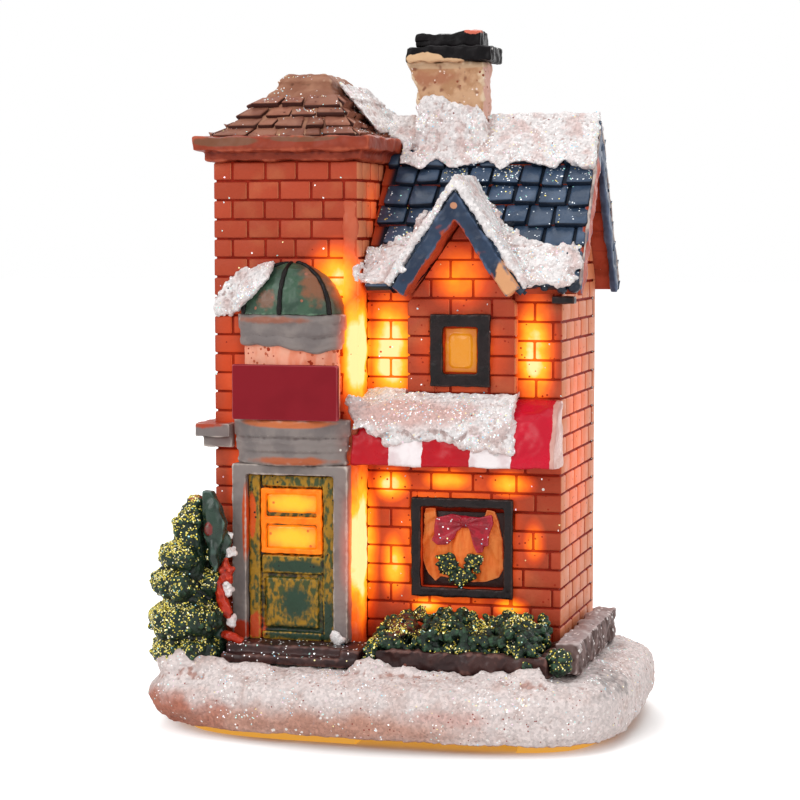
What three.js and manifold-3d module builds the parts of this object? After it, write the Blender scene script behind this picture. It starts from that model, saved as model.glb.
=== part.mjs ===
import * as THREE from "three";
import { mergeVertices } from "three/addons/utils/BufferGeometryUtils.js";
import Module from "manifold-3d";

// Light-up village house: a hollow cast-resin ornament with one lamp, three button cells and a switch.
// Millimetres, +Z up. The front faces -Y. The origin lies on the table, under the middle of the base.

// Clearances
const gap = 0.3; // between pieces that meet on a slope, a curve or a cut
const slideGap = 0.25; // round the sliding battery door and the switch knob

// Yards round the house, on the ground slab
const leftYard = 8.5;
const rightYard = 10.8;
const frontYard = 13.9;
const backYard = 8.4;
const slabSquareness = 4.5; // exponent of the slab's rounded outline
const rimLift = 1.5; // underside of the rim above the table
const rimTop = 8.6;
const groundLevel = 10;
const rimSlope = 3.5; // how far in from the edge the ground reaches its full level
const rimRound = 1.6; // height over which the rim's edges turn
const rimEase = 0.8; // how far they draw in

// House body
const towerWidth = 22.2;
const mainWidth = 29.5;
const mainDepth = 26.5;
const towerProud = 5; // how far the tower stands in front of the main facade
const wallThickness = 3;
const towerWallHeight = 73.8;
const courseHeight = 2.8;
const jointDepth = 0.35;
const jointWidth = 0.7;

// Main roof
const eaveHeight = 55.5; // above the ground
const roofRise = 24;
const eaveOverhang = 3;
const gableOverhang = 2.3;
const roofThickness = 1.8;
const shingleRows = 8;
const shingleStep = 0.5;
const bargeboardWidth = 1;
const bargeboardDepth = 2.6;
const bracketLength = 3.3;
const bracketHeight = 1.1;
const bracketDepth = 2;

// Centre bay and its dormer
const bayOffset = 14.8; // bay's middle from the main block's left end
const bayWidth = 16.2;
const bayProud = 1.8;
const dormerHalfWidth = 9.6;
const dormerRise = 14;
const dormerApexLift = 13.9; // above the eave
const dormerThickness = 2.4;
const dormerOverhang = 4.2;

// Tower top
const corniceLowerHeight = 1.5;
const corniceUpperHeight = 2.1;
const corniceLowerOverhang = 1;
const corniceUpperOverhang = 2.4;
const towerRoofInset = 2.3; // foot of the tiles from the cornice's edge
const towerRoofRise = 8.6;
const tileRows = 4;
const tileStep = 0.5;
const towerCapWidth = 8.5;
const towerCapDepth = 12.5;
const towerCapHeight = 1.2;

// Chimney
const chimneyOffset = 9.9; // chimney's middle from the main block's left end
const chimneyWidth = 11.1;
const chimneyDepth = 6.8;
const chimneyHeight = 9.5; // above the ridge
const capLowerOverhang = 1.6;
const capLowerHeight = 2.2;
const capUpperOverhang = 0.2;
const capUpperHeight = 2.4;

// Door and the bowed bay over it
const doorOffset = 12.4; // door's middle from the tower's left side
const stepHeight = 3;
const stepReach = 7; // how far the step stands in front of the tower
const stepLeftOverlap = 0.3; // how far the step is wider than the door frame
const stepRightOverlap = 3;
const frameWidth = 17.9;
const frameHeight = 26.2;
const frameProud = 2.5;
const pilasterWidth = 2.2;
const lintelHeight = 1.5;
const leafProud = 1.5;
const paneSideMargin = 2.5;
const upperPaneHeight = 3.4;
const upperPaneDrop = 2.4; // below the leaf's top
const lowerPaneHeight = 4;
const paneSpacing = 1.4;
const panelHeight = 7.9;
const panelLift = 1.5; // above the leaf's foot
const panelDepth = 0.5;
const lowerCorniceWidth = 17.9;
const lowerCorniceBands = [2.1, 2.2, 2.5];
const lowerCorniceReach = 4.3;
const bandStep = 0.35;
const bayBodyWidth = 14.6;
const bayBodyHeight = 11;
const bayBodyReach = 3.4;
const upperCorniceWidth = 16.5;
const upperCorniceBands = [2.2, 2.2];
const upperCorniceReach = 4.2;
const domeWidth = 16;
const domeRise = 7.6;
const domeReach = 4.3;
const signWidth = 16.3;
const signHeight = 8.1;
const signThickness = 1.2;
const bowSides = 14;

// String moulding on the tower's left side
const stringLevel = 31.5; // above the ground
const stringHeight = 3.6;
const stringProud = 2.4;

// Awning over the shop window
const awningTop = 39; // above the ground
const awningDrop = 9.6;
const awningReach = 6.2;
const awningLeftOverlap = 0.8; // past the tower's corner
const awningRightOverhang = 0.2;

// Windows
const upperWindowWidth = 9;
const upperWindowHeight = 10.6;
const upperWindowGap = 1.9; // its foot above the awning's top
const upperFrameBar = 1.9;
const frameRelief = 0.8;
const shopWindowOffset = 7; // its left side from the main block's left end
const shopWindowWidth = 15.4;
const shopWindowHeight = 14.8;
const shopWindowSill = 9.5; // above the ground
const shopFrameBar = 1.4;
const shopRecess = 1.2;
const wreathRadius = 2.6;
const wreathThickness = 0.7;

// Front planting and stonework
const planterGap = 1.1; // between the door step and the trough
const planterOverhang = 0.5; // past the main block's right end
const planterHeight = 3.4;
const planterReach = 12; // front of the trough from the main facade
const planterWall = 1.2;
const shrubHeight = 6;
const shrubDepth = 5.4;
const kerbWidth = 3.5;
const kerbHeight = 5;
const kerbLength = 32;
const kerbReach = 9; // its front end from the main facade
const bushRadius = 2.3;
const bushHeight = 4.2;
const treeLeft = 1.9; // its middle from the tower's left side
const treeAhead = 4.4; // its middle from the tower's face
const treeRadius = 5.9;
const treeHeight = 26.4;
const treeTiers = 5;
const leafLength = 4.6;
const leafHalfThickness = 0.6;

// Snow
const snowDepth = 1.1;
const ridgeSnowDrop = 6;
const awningSnowDepth = 1.4;

// Bottom plate, battery compartment and switch
const plateThickness = 2.2;
const plateInset = 4;
const cellCount = 3;
const cellDiameter = 11.6;
const cellThickness = 5.4;
const cellSpacing = 0.1;
const cellCrown = 1.1; // how much smaller the raised cap of a cell is, all round
const trayWall = 1;
const springLength = 3.4;
const springWire = 0.5;
const springCurls = 3.5;
const contactThickness = 0.4;
const tabWidth = 1.8; // solder tab of a contact
const tabReach = 1.2; // how far it stands out of the tray
const tabGap = 0.15; // round it where it passes the tray's wall
const batteryDoorThickness = 1.05;
const batteryDoorLap = 1.2; // round the compartment's mouth
const dovetail = 0.7; // how much wider the door's top is, each side
const doorRecess = 0.15; // door's underside above the table
const grooveCount = 4; // finger grooves under the door
const groovePitch = 1.2;
const grooveWidth = 0.5;
const grooveLength = 8;
const switchOffset = 11; // its middle from the tower's left side
const switchLength = 8.6;
const switchWidth = 4.4;
const switchHeight = 3.6;
const switchWall = 0.9;
const knobLength = 2;
const knobWidth = 1.6;
const knobTravel = 2;
const knobHead = 0.7; // how much longer the knob's head is than its stem
const knobHeadTop = 1.1; // above the plate
const fingerRoom = 1.6; // dished into the plate round the knob
const screwHeadDiameter = 4;
const screwShankDiameter = 2;
const screwLength = 7;
const screwSlot = 0.6;
const screwInset = 9;

// Lamp and its wires
const lampDiameter = 5;
const lampFlange = 5.8;
const lampHeight = 8.6;
const lampCollar = 1;
const lampSeatDepth = 0.8; // how far the collar sinks into the post
const postInset = 3.4; // its middle from the tower's right side, inwards
const postBehind = 9; // its middle behind the main facade
const postOuter = 7;
const postWall = 0.9;
const postHeight = 28.8;
const wireDiameter = 1.1;
const wireSpread = 1.2; // each wire from the post's middle
const wireBend = 1.7; // radius that a wire turns with

// Places worked out from the sizes above
const slabLength = leftYard + towerWidth + mainWidth + rightYard;
const slabDepth = frontYard + towerProud + mainDepth + backYard;
const towerLeft = -slabLength / 2 + leftYard;
const towerRight = towerLeft + towerWidth;
const mainRight = towerRight + mainWidth;
const houseBack = slabDepth / 2 - backYard;
const mainFront = houseBack - mainDepth;
const towerFront = mainFront - towerProud;
const towerTop = groundLevel + towerWallHeight;
const ridgeY = (mainFront + houseBack) / 2;
const roofRun = mainDepth / 2 + eaveOverhang;
const roofAngle = Math.atan2(roofRise, roofRun);
const roofSlope = Math.hypot(roofRise, roofRun);
const eaveLevel = groundLevel + eaveHeight;
const ridgeLevel = eaveLevel + roofRise;
const roofRight = mainRight + gableOverhang;
const bayCentre = towerRight + bayOffset;
const bayFront = mainFront - bayProud;
const dormerApex = eaveLevel + dormerApexLift;
const dormerAngle = Math.atan2(dormerRise, dormerHalfWidth);
const awningLevel = groundLevel + awningTop;
const doorCentre = towerLeft + doorOffset;
const stepTop = groundLevel + stepHeight;
const frameTop = stepTop + frameHeight;
const reach = 60; // longer than any cut needs

const wasm = await Module();
wasm.setup();

// A three.js geometry as a manifold solid.
function solid(geometry) {
  const bare = geometry.clone();
  bare.deleteAttribute("normal");
  bare.deleteAttribute("uv");
  const merged = mergeVertices(bare, 1e-4);
  return new wasm.Manifold(
    new wasm.Mesh({
      numProp: 3,
      vertProperties: merged.attributes.position.array,
      triVerts: new Uint32Array(merged.index.array),
    }),
  );
}

// A manifold solid as a three.js geometry.
function geometryOf(shape) {
  const mesh = shape.getMesh();
  const geometry = new THREE.BufferGeometry();
  geometry.setAttribute("position", new THREE.BufferAttribute(mesh.vertProperties, mesh.numProp));
  geometry.setIndex(new THREE.BufferAttribute(mesh.triVerts, 1));
  return geometry.toNonIndexed();
}

function block(x0, x1, y0, y1, z0, z1) {
  const box = new THREE.BoxGeometry(x1 - x0, y1 - y0, z1 - z0);
  return solid(box.translate((x0 + x1) / 2, (y0 + y1) / 2, (z0 + z1) / 2));
}

// The axes that a drawn outline's across, up and depth directions take in each drawing plane.
const planes = {
  front: [new THREE.Vector3(1, 0, 0), new THREE.Vector3(0, 0, 1), new THREE.Vector3(0, -1, 0)],
  side: [new THREE.Vector3(0, 1, 0), new THREE.Vector3(0, 0, 1), new THREE.Vector3(1, 0, 0)],
  plan: [new THREE.Vector3(1, 0, 0), new THREE.Vector3(0, 1, 0), new THREE.Vector3(0, 0, 1)],
};

// An outline drawn in one plane and carried from one depth to another: Y for front, X for side, Z for plan.
function prism(plane, points, from, to) {
  const shape = new THREE.Shape(points.map(([u, v]) => new THREE.Vector2(u, v)));
  const body = new THREE.ExtrudeGeometry(shape, { depth: to - from, bevelEnabled: false, curveSegments: 1 });
  body.translate(0, 0, plane === "front" ? -to : from);
  return solid(body.applyMatrix4(new THREE.Matrix4().makeBasis(...planes[plane])));
}

// A closed body through rings of equal point counts, each ring counter-clockwise seen from above.
function loft(rings) {
  const count = rings[0].length;
  const flat = rings[0].map((p) => new THREE.Vector2(p.x, p.y));
  const cap = THREE.ShapeUtils.triangulateShape(flat, []);
  const last = (rings.length - 1) * count;
  const faces = [];
  for (const [a, b, c] of cap) {
    faces.push(a, c, b);
    faces.push(last + a, last + b, last + c);
  }
  for (let level = 0; level + 1 < rings.length; level += 1) {
    for (let i = 0; i < count; i += 1) {
      const j = (i + 1) % count;
      const low = level * count;
      const high = low + count;
      faces.push(low + i, low + j, high + j);
      faces.push(low + i, high + j, high + i);
    }
  }
  const geometry = new THREE.BufferGeometry().setFromPoints(rings.flat());
  geometry.setIndex(faces);
  return solid(geometry);
}

function rectangleRing(x0, x1, y0, y1, z, inset = 0) {
  return [
    new THREE.Vector3(x0 + inset, y0 + inset, z),
    new THREE.Vector3(x1 - inset, y0 + inset, z),
    new THREE.Vector3(x1 - inset, y1 - inset, z),
    new THREE.Vector3(x0 + inset, y1 - inset, z),
  ];
}

// The slab's rounded outline: nearly straight sides with soft corners.
function slabRing(inset, z, sides = 44) {
  const ring = [];
  for (let i = 0; i < sides; i += 1) {
    const angle = (2 * Math.PI * i) / sides;
    const c = Math.cos(angle);
    const s = Math.sin(angle);
    const power = 2 / slabSquareness;
    const x = (slabLength / 2 - inset) * Math.sign(c) * Math.abs(c) ** power;
    const y = (slabDepth / 2 - inset) * Math.sign(s) * Math.abs(s) ** power;
    ring.push(new THREE.Vector3(x, y, z));
  }
  return ring;
}

function slabPrism(inset, z0, z1) {
  return loft([slabRing(inset, z0), slabRing(inset, z1)]);
}

// A block of brickwork whose courses bulge between sunk bed joints.
function coursedBlock(x0, x1, y0, y1, z0, z1) {
  const count = Math.max(1, Math.round((z1 - z0) / courseHeight));
  const pitch = (z1 - z0) / count;
  const rings = [];
  for (let i = 0; i < count; i += 1) {
    const foot = z0 + i * pitch;
    rings.push(rectangleRing(x0, x1, y0, y1, foot, jointDepth));
    rings.push(rectangleRing(x0, x1, y0, y1, foot + jointWidth / 2));
    rings.push(rectangleRing(x0, x1, y0, y1, foot + pitch - jointWidth / 2));
  }
  rings.push(rectangleRing(x0, x1, y0, y1, z1, jointDepth));
  return loft(rings);
}

// A point of the main roof's slope: side -1 is the front, s runs up from the eave, lift stands off the slope.
function slopePoint(side, s, lift) {
  const y = ridgeY + side * (roofRun - s * Math.cos(roofAngle) + lift * Math.sin(roofAngle));
  const z = eaveLevel + s * Math.sin(roofAngle) + lift * Math.cos(roofAngle);
  return [y, z];
}

function roofLevel(lift) {
  return ridgeLevel + lift / Math.cos(roofAngle);
}

// A layer over both slopes, between two lifts, from s up to the ridge.
function roofLayer(low, high, x0, x1, from = 0) {
  const outline = [
    slopePoint(-1, from, low),
    slopePoint(-1, from, high),
    [ridgeY, roofLevel(high)],
    slopePoint(1, from, high),
    slopePoint(1, from, low),
    [ridgeY, roofLevel(low)],
  ];
  return prism("side", outline, x0, x1);
}

// Everything under the main roof's surface raised by lift, back from the plane y0.
function underRoof(lift, y0, x0 = -reach, x1 = reach) {
  const drop = Math.tan(roofAngle);
  const outline = [
    [y0, -reach],
    [y0, roofLevel(lift) - (ridgeY - y0) * drop],
    [ridgeY, roofLevel(lift)],
    [ridgeY + reach, roofLevel(lift) - reach * drop],
    [ridgeY + reach, -reach],
  ];
  return prism("side", outline, x0, x1);
}

// The dormer's two slopes seen from the front, between two lifts off its upper surface.
function dormerLayer(low, high, y0, y1, reachOut = 1) {
  const run = dormerHalfWidth * reachOut;
  const drop = dormerRise * reachOut;
  const at = (side, lift) => [
    bayCentre + side * (run + lift * Math.sin(dormerAngle)),
    dormerApex - drop + lift * Math.cos(dormerAngle),
  ];
  const apex = (lift) => [bayCentre, dormerApex + lift / Math.cos(dormerAngle)];
  const outline = [at(-1, low), at(-1, high), apex(high), at(1, high), at(1, low), apex(low)];
  return prism("front", outline, y0, y1);
}

// Everything under the dormer's slopes, seen from the front, as wide as the bay grown by grow.
function bayProfile(lift, grow, foot) {
  const half = bayWidth / 2 + grow;
  const apex = dormerApex + lift / Math.cos(dormerAngle);
  const shoulder = apex - half * Math.tan(dormerAngle);
  return [
    [bayCentre - half, foot],
    [bayCentre + half, foot],
    [bayCentre + half, shoulder],
    [bayCentre, apex],
    [bayCentre - half, shoulder],
  ];
}

// A body with a bowed front on the tower's face, reach in front of it, with short straight ends.
function bowed(width, bow, z0, z1, straight = 1.2) {
  const sag = bow - straight;
  const radius = (width * width) / (8 * sag) + sag / 2;
  const sweep = Math.asin(width / 2 / radius);
  const points = [[doorCentre + width / 2, towerFront], [doorCentre - width / 2, towerFront]];
  for (let i = 0; i <= bowSides; i += 1) {
    const angle = -sweep + (2 * sweep * i) / bowSides;
    points.push([
      doorCentre + radius * Math.sin(angle),
      towerFront - bow + radius * (1 - Math.cos(angle)),
    ]);
  }
  return prism("plan", points, z0, z1);
}

// Bands stacked from one level, each wider and prouder than the one below by bandStep.
function bandedCornice(width, bow, foot, bands) {
  let shape = null;
  let z = foot;
  bands.forEach((height, i) => {
    const grow = (i - bands.length + 1) * bandStep;
    const band = bowed(width + 2 * grow, bow + grow, z, z + height);
    shape = shape ? shape.add(band) : band;
    z += height;
  });
  return shape;
}

// A lumpy body of foliage: radius gives its size at height t from 0 to 1, lobes its lumps round.
function foliage({ x, y, foot, height, across, deep, radius, levels, sides, lobes, wave }) {
  const rings = [];
  for (let level = 0; level <= levels; level += 1) {
    const t = level / levels;
    const ring = [];
    for (let i = 0; i < sides; i += 1) {
      const angle = (2 * Math.PI * i) / sides;
      const lump = 1 + wave * Math.cos(lobes * angle + 2.1 * level);
      const r = Math.max(radius(t), 0.08) * lump;
      const px = x + across * r * Math.cos(angle);
      const py = y + deep * r * Math.sin(angle);
      ring.push(new THREE.Vector3(px, py, foot + height * t));
    }
    rings.push(ring);
  }
  return loft(rings);
}

function lathe(points, sides = 20) {
  const profile = points.map(([r, z]) => new THREE.Vector2(r, z));
  return new THREE.LatheGeometry(profile, sides).rotateX(Math.PI / 2);
}

// A round wire along points, with a ring at each step.
function wire(points, diameter, steps, sides = 8) {
  const curve = new THREE.CatmullRomCurve3(points.map((p) => new THREE.Vector3(...p)));
  const section = new THREE.Shape();
  for (let i = 0; i < sides; i += 1) {
    const angle = (2 * Math.PI * i) / sides;
    const at = [(diameter / 2) * Math.cos(angle), (diameter / 2) * Math.sin(angle)];
    if (i === 0) {
      section.moveTo(...at);
    } else {
      section.lineTo(...at);
    }
  }
  return solid(new THREE.ExtrudeGeometry(section, { steps, extrudePath: curve, bevelEnabled: false }));
}

const house = new THREE.Group();
house.name = "village_house";

function paint(color, roughness = 0.7, metalness = 0) {
  return new THREE.MeshStandardMaterial({ color, roughness, metalness });
}

const finishes = {
  brick: paint("#b4472c"),
  slate: paint("#33445c", 0.55),
  tile: paint("#8c5242"),
  cornice: paint("#9a4432"),
  stucco: paint("#d8b9a4"),
  greyStone: paint("#7e7b79"),
  darkStone: paint("#3d2a2c"),
  copperGreen: paint("#48644e", 0.55),
  doorGreen: paint("#5a6136", 0.5),
  amber: paint("#f5a623", 0.4),
  signRed: paint("#821820", 0.35),
  awningRed: paint("#b3122e", 0.25),
  black: paint("#1f1a1a", 0.5),
  ochre: paint("#c98743"),
  ribbonRed: paint("#b01826", 0.4),
  foliage: paint("#24352a"),
  snow: paint("#efe7e6", 0.8),
  ground: paint("#d9cdca", 0.8),
  peach: paint("#c9a288"),
  frosted: paint("#e8c890", 0.45),
  blackPlastic: paint("#1b1b1d", 0.45),
  steel: paint("#b8bcc0", 0.3, 1),
  lampLens: paint("#ffe2a0", 0.15),
  redWire: paint("#a01818", 0.5),
  blackWire: paint("#161616", 0.5),
};

function place(name, shape, finish) {
  const mesh = new THREE.Mesh(geometryOf(shape), finishes[finish]);
  mesh.name = name;
  house.add(mesh);
}

// Ground slab, with the well that the works stand in and the pocket for the bottom plate
const wellLeft = towerLeft + wallThickness + 2;
const wellRight = mainRight - wallThickness - 0.2;
const wellFront = mainFront + wallThickness + 0.2;
const wellBack = houseBack - wallThickness - 1;
const screwPlaces = [
  { name: "plate_screw_left", x: -slabLength / 2 + screwInset, y: mainFront - 2 },
  { name: "plate_screw_right", x: slabLength / 2 - screwInset, y: houseBack - screwInset / 2 },
];
const slabBody = loft([
  slabRing(rimEase, rimLift),
  slabRing(0, rimLift + rimRound),
  slabRing(0, rimTop - rimRound),
  slabRing(rimEase, rimTop),
  slabRing(rimSlope, groundLevel),
]);
const raisedSlab = slabBody.translate([0, 0, gap]);

// Stands a body on the slab: what would sink into the ground is cut off, just clear of it.
function seated(shape) {
  return shape.subtract(raisedSlab);
}

function makeSlab() {
  let slab = slabBody.subtract(slabPrism(plateInset - gap, 0, plateThickness));
  slab = slab.subtract(block(wellLeft, wellRight, wellFront, wellBack, 0, reach));
  for (const { x, y } of screwPlaces) {
    const hole = new THREE.CylinderGeometry(1, 1, 1, 16).rotateX(Math.PI / 2);
    const radius = screwShankDiameter / 2 + 0.2;
    const depth = doorRecess + screwLength + 0.6;
    slab = slab.subtract(solid(hole.scale(radius, radius, depth).translate(x, y, depth / 2)));
  }
  place("base_casting", slab, "ground");
}

// Tower: a brick tube with a doorway through to the main block for the light
function makeTower() {
  const inner = (grow) => [towerLeft + wallThickness - grow, towerRight - wallThickness + grow];
  let walls = coursedBlock(towerLeft, towerRight, towerFront, houseBack, groundLevel, towerTop);
  const [left, right] = inner(0);
  walls = walls.subtract(
    block(left, right, towerFront + wallThickness, houseBack - wallThickness, 0, reach * 2),
  );
  const passTop = eaveLevel - 2 * courseHeight;
  walls = walls.subtract(
    block(right - 1, towerRight + 1, mainFront + wallThickness, houseBack - wallThickness, 0, passTop),
  );
  place("tower_walls", walls, "brick");

  const lowerTop = towerTop + corniceLowerHeight;
  const upperTop = lowerTop + corniceUpperHeight;
  const slab = (over, z0, z1) =>
    block(towerLeft - over, towerRight + over, towerFront - over, houseBack + over, z0, z1);
  const cornice = slab(corniceLowerOverhang, towerTop, lowerTop).add(
    slab(corniceUpperOverhang, lowerTop, upperTop),
  );
  place("tower_cornice", cornice, "cornice");

  place("tower_roof", towerRoof(0, upperTop), "tile");
  const capX = (towerLeft + towerRight) / 2;
  const capY = (towerFront + houseBack) / 2;
  const capFoot = upperTop + towerRoofRise;
  const capRing = (z, inset) =>
    rectangleRing(
      capX - towerCapWidth / 2,
      capX + towerCapWidth / 2,
      capY - towerCapDepth / 2,
      capY + towerCapDepth / 2,
      z,
      inset,
    );
  place("tower_roof_cap", loft([capRing(capFoot, -0.2), capRing(capFoot + towerCapHeight, 1.2)]), "tile");
}

// The tower's tiled roof, grown by grow for the snow that lies on it.
function towerRoof(grow, foot) {
  const edge = corniceUpperOverhang - towerRoofInset;
  const x0 = towerLeft - edge;
  const x1 = towerRight + edge;
  const y0 = towerFront - edge;
  const y1 = houseBack + edge;
  const inX = (x1 - x0 - towerCapWidth) / 2;
  const inY = (y1 - y0 - towerCapDepth) / 2;
  const at = (t, lift) => {
    const f = t ** 0.9;
    const z = foot + towerRoofRise * t;
    const out = lift + grow;
    return [
      new THREE.Vector3(x0 + inX * f - out, y0 + inY * f - out, z),
      new THREE.Vector3(x1 - inX * f + out, y0 + inY * f - out, z),
      new THREE.Vector3(x1 - inX * f + out, y1 - inY * f + out, z),
      new THREE.Vector3(x0 + inX * f - out, y1 - inY * f + out, z),
    ];
  };
  const rings = [];
  const tiledShare = 0.74;
  for (let row = 0; row < tileRows; row += 1) {
    rings.push(at((row / tileRows) * tiledShare, 0));
    rings.push(at(((row + 0.92) / tileRows) * tiledShare, -tileStep));
  }
  rings.push(at(tiledShare, -tileStep));
  rings.push(at(1, -tileStep));
  return loft(rings);
}

const corniceTop = towerTop + corniceLowerHeight + corniceUpperHeight;
const corniceCut = block(
  towerLeft - reach,
  towerRight + corniceUpperOverhang + gap,
  towerFront - corniceUpperOverhang - gap,
  houseBack + corniceUpperOverhang + gap,
  towerTop - gap,
  corniceTop + gap,
);
const towerCut = block(
  towerLeft - gap,
  towerRight + gap,
  towerFront - gap,
  houseBack + gap,
  -reach,
  towerTop,
);

// Chimney: a stack that straddles the ridge, under two slabs
const chimneyX = towerRight + chimneyOffset;
const chimneyBox = (grow, z0, z1) =>
  block(
    chimneyX - chimneyWidth / 2 - grow,
    chimneyX + chimneyWidth / 2 + grow,
    ridgeY - chimneyDepth / 2 - grow,
    ridgeY + chimneyDepth / 2 + grow,
    z0,
    z1,
  );

// Main block: front, right and back walls under a gable, open to the tower on its left
function makeMainBlock() {
  const underSlates = -roofThickness - gap;
  let walls = coursedBlock(
    towerRight,
    mainRight,
    mainFront,
    houseBack,
    groundLevel,
    groundLevel + Math.ceil((ridgeLevel - groundLevel) / courseHeight) * courseHeight,
  );
  walls = walls.intersect(underRoof(underSlates, mainFront - 1));
  walls = walls.subtract(
    block(
      towerRight - 1,
      mainRight - wallThickness,
      mainFront + wallThickness,
      houseBack - wallThickness,
      0,
      reach * 2,
    ),
  );
  const [x0, x1, z0, z1] = shopOpening(0);
  walls = walls.subtract(block(x0, x1, mainFront - 1, mainFront + shopRecess, z0, z1));
  place("main_walls", walls, "brick");

  const outline = [slopePoint(-1, 0, -roofThickness)];
  const rows = (side) => {
    const points = [];
    for (let row = 0; row < shingleRows; row += 1) {
      points.push(slopePoint(side, (row * roofSlope) / shingleRows, 0));
      if (row + 1 < shingleRows) {
        points.push(slopePoint(side, ((row + 1) * roofSlope) / shingleRows, -shingleStep));
      }
    }
    return points;
  };
  outline.push(...rows(-1));
  outline.push([ridgeY, roofLevel(0)]);
  outline.push(...rows(1).reverse());
  outline.push(slopePoint(1, 0, -roofThickness));
  outline.push([ridgeY, roofLevel(-roofThickness)]);
  let roof = prism("side", outline, towerRight + gap, roofRight);
  roof = roof.subtract(corniceCut).subtract(towerRoof(gap, corniceTop - gap));
  roof = roof.subtract(prism("front", bayProfile(-dormerThickness, gap, 0), -reach, mainFront + gap));
  place("main_roof", roof, "slate");

  const board = roofLayer(-bargeboardDepth, 0, roofRight, roofRight + bargeboardWidth);
  place("gable_bargeboard", board, "slate");

  const bracketTop = slopePoint(-1, 0, -roofThickness)[1] - gap;
  const bracketRight = mainRight + gableOverhang - 0.2;
  place(
    "eave_bracket",
    block(
      bracketRight - bracketLength,
      bracketRight,
      mainFront - bracketDepth,
      mainFront,
      bracketTop - bracketHeight,
      bracketTop,
    ),
    "black",
  );
}

// Centre bay: brickwork up to a point, under the dormer's two boards
function makeBay() {
  const foot = awningLevel + 0.8;
  const lift = -dormerThickness - gap;
  let bay = coursedBlock(
    bayCentre - bayWidth / 2,
    bayCentre + bayWidth / 2,
    bayFront,
    ridgeY,
    foot,
    foot + Math.ceil((dormerApex - foot) / courseHeight) * courseHeight,
  );
  bay = bay.intersect(prism("front", bayProfile(lift, 1, foot - 1), -reach, reach));
  bay = bay.subtract(underRoof(gap, mainFront));
  place("front_bay", bay, "brick");
  place("dormer_roof", dormerRoof(), "slate");
}

function dormerRoof() {
  const boards = dormerLayer(-dormerThickness, 0, bayFront - dormerOverhang, ridgeY);
  return boards.subtract(underRoof(gap, mainFront - eaveOverhang)).subtract(chimneyBox(gap, 0, reach * 2));
}

function makeChimney() {
  const foot = ridgeLevel - chimneyDepth;
  const top = ridgeLevel + chimneyHeight;
  place("chimney_stack", chimneyBox(0, foot, top).subtract(underRoof(gap, -reach)), "stucco");
  const lowerTop = top + capLowerHeight;
  place("chimney_cap_lower", chimneyBox(capLowerOverhang, top, lowerTop), "black");
  place("chimney_cap_upper", chimneyBox(capUpperOverhang, lowerTop, lowerTop + capUpperHeight), "black");
}

// Door, its frame, and the bowed bay with its dome
const lowerCorniceFoot = frameTop;
const sum = (list) => list.reduce((total, value) => total + value, 0);
const bayBodyFoot = lowerCorniceFoot + sum(lowerCorniceBands);
const upperCorniceFoot = bayBodyFoot + bayBodyHeight;
const domeFoot = upperCorniceFoot + sum(upperCorniceBands);

function makeDoor() {
  const left = doorCentre - frameWidth / 2;
  const right = doorCentre + frameWidth / 2;
  const front = towerFront - frameProud;
  const step = block(
    left - stepLeftOverlap,
    right + stepRightOverlap,
    towerFront - stepReach,
    towerFront,
    groundLevel - 2,
    stepTop,
  );
  place("door_step", seated(step), "darkStone");

  const openingTop = frameTop - lintelHeight;
  const frame = block(left, right, front, towerFront, stepTop, frameTop).subtract(
    block(left + pilasterWidth, right - pilasterWidth, front - 1, towerFront + 1, 0, openingTop),
  );
  place("door_frame", frame, "greyStone");

  const leafLeft = left + pilasterWidth + gap / 2;
  const leafRight = right - pilasterWidth - gap / 2;
  const leafTop = openingTop - gap / 2;
  const leafFront = towerFront - leafProud;
  let leaf = block(leafLeft, leafRight, leafFront, towerFront, stepTop, leafTop);
  const paneLeft = leafLeft + paneSideMargin;
  const paneRight = leafRight - paneSideMargin;
  const upperTop = leafTop - upperPaneDrop;
  const lowerTop = upperTop - upperPaneHeight - paneSpacing;
  const panes = [
    ["door_pane_upper", upperTop - upperPaneHeight, upperTop],
    ["door_pane_lower", lowerTop - lowerPaneHeight, lowerTop],
  ];
  for (const [name, z0, z1] of panes) {
    leaf = leaf.subtract(block(paneLeft, paneRight, leafFront - 1, towerFront + 1, z0, z1));
    const fit = gap / 2;
    place(
      name,
      block(paneLeft + fit, paneRight - fit, leafFront + 0.4, towerFront, z0 + fit, z1 - fit),
      "amber",
    );
  }
  const panelFoot = stepTop + panelLift;
  leaf = leaf.subtract(
    block(paneLeft, paneRight, leafFront - 1, leafFront + panelDepth, panelFoot, panelFoot + panelHeight),
  );
  place("door_leaf", leaf, "doorGreen");

  place(
    "bay_lower_cornice",
    bandedCornice(lowerCorniceWidth, lowerCorniceReach, lowerCorniceFoot, lowerCorniceBands),
    "greyStone",
  );
  place("door_bay", bowed(bayBodyWidth, bayBodyReach, bayBodyFoot, upperCorniceFoot), "stucco");
  place(
    "bay_upper_cornice",
    bandedCornice(upperCorniceWidth, upperCorniceReach, upperCorniceFoot, upperCorniceBands),
    "greyStone",
  );
  place("bay_dome", dome(0), "copperGreen");

  const signBack = towerFront - bayBodyReach;
  place(
    "sign_board",
    block(
      doorCentre - signWidth / 2,
      doorCentre + signWidth / 2,
      signBack - signThickness,
      signBack,
      bayBodyFoot,
      bayBodyFoot + signHeight,
    ),
    "signRed",
  );
}

// A quarter of an ellipsoid on the upper cornice, against the tower, grown by grow for its snow.
function dome(grow) {
  const ball = new THREE.SphereGeometry(1, 24, 12).rotateX(Math.PI / 2);
  ball.scale(domeWidth / 2 + grow, domeReach + grow, domeRise + grow);
  return solid(ball.translate(doorCentre, towerFront, domeFoot)).intersect(
    block(-reach, reach, -reach, towerFront, domeFoot, reach * 2),
  );
}

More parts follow.
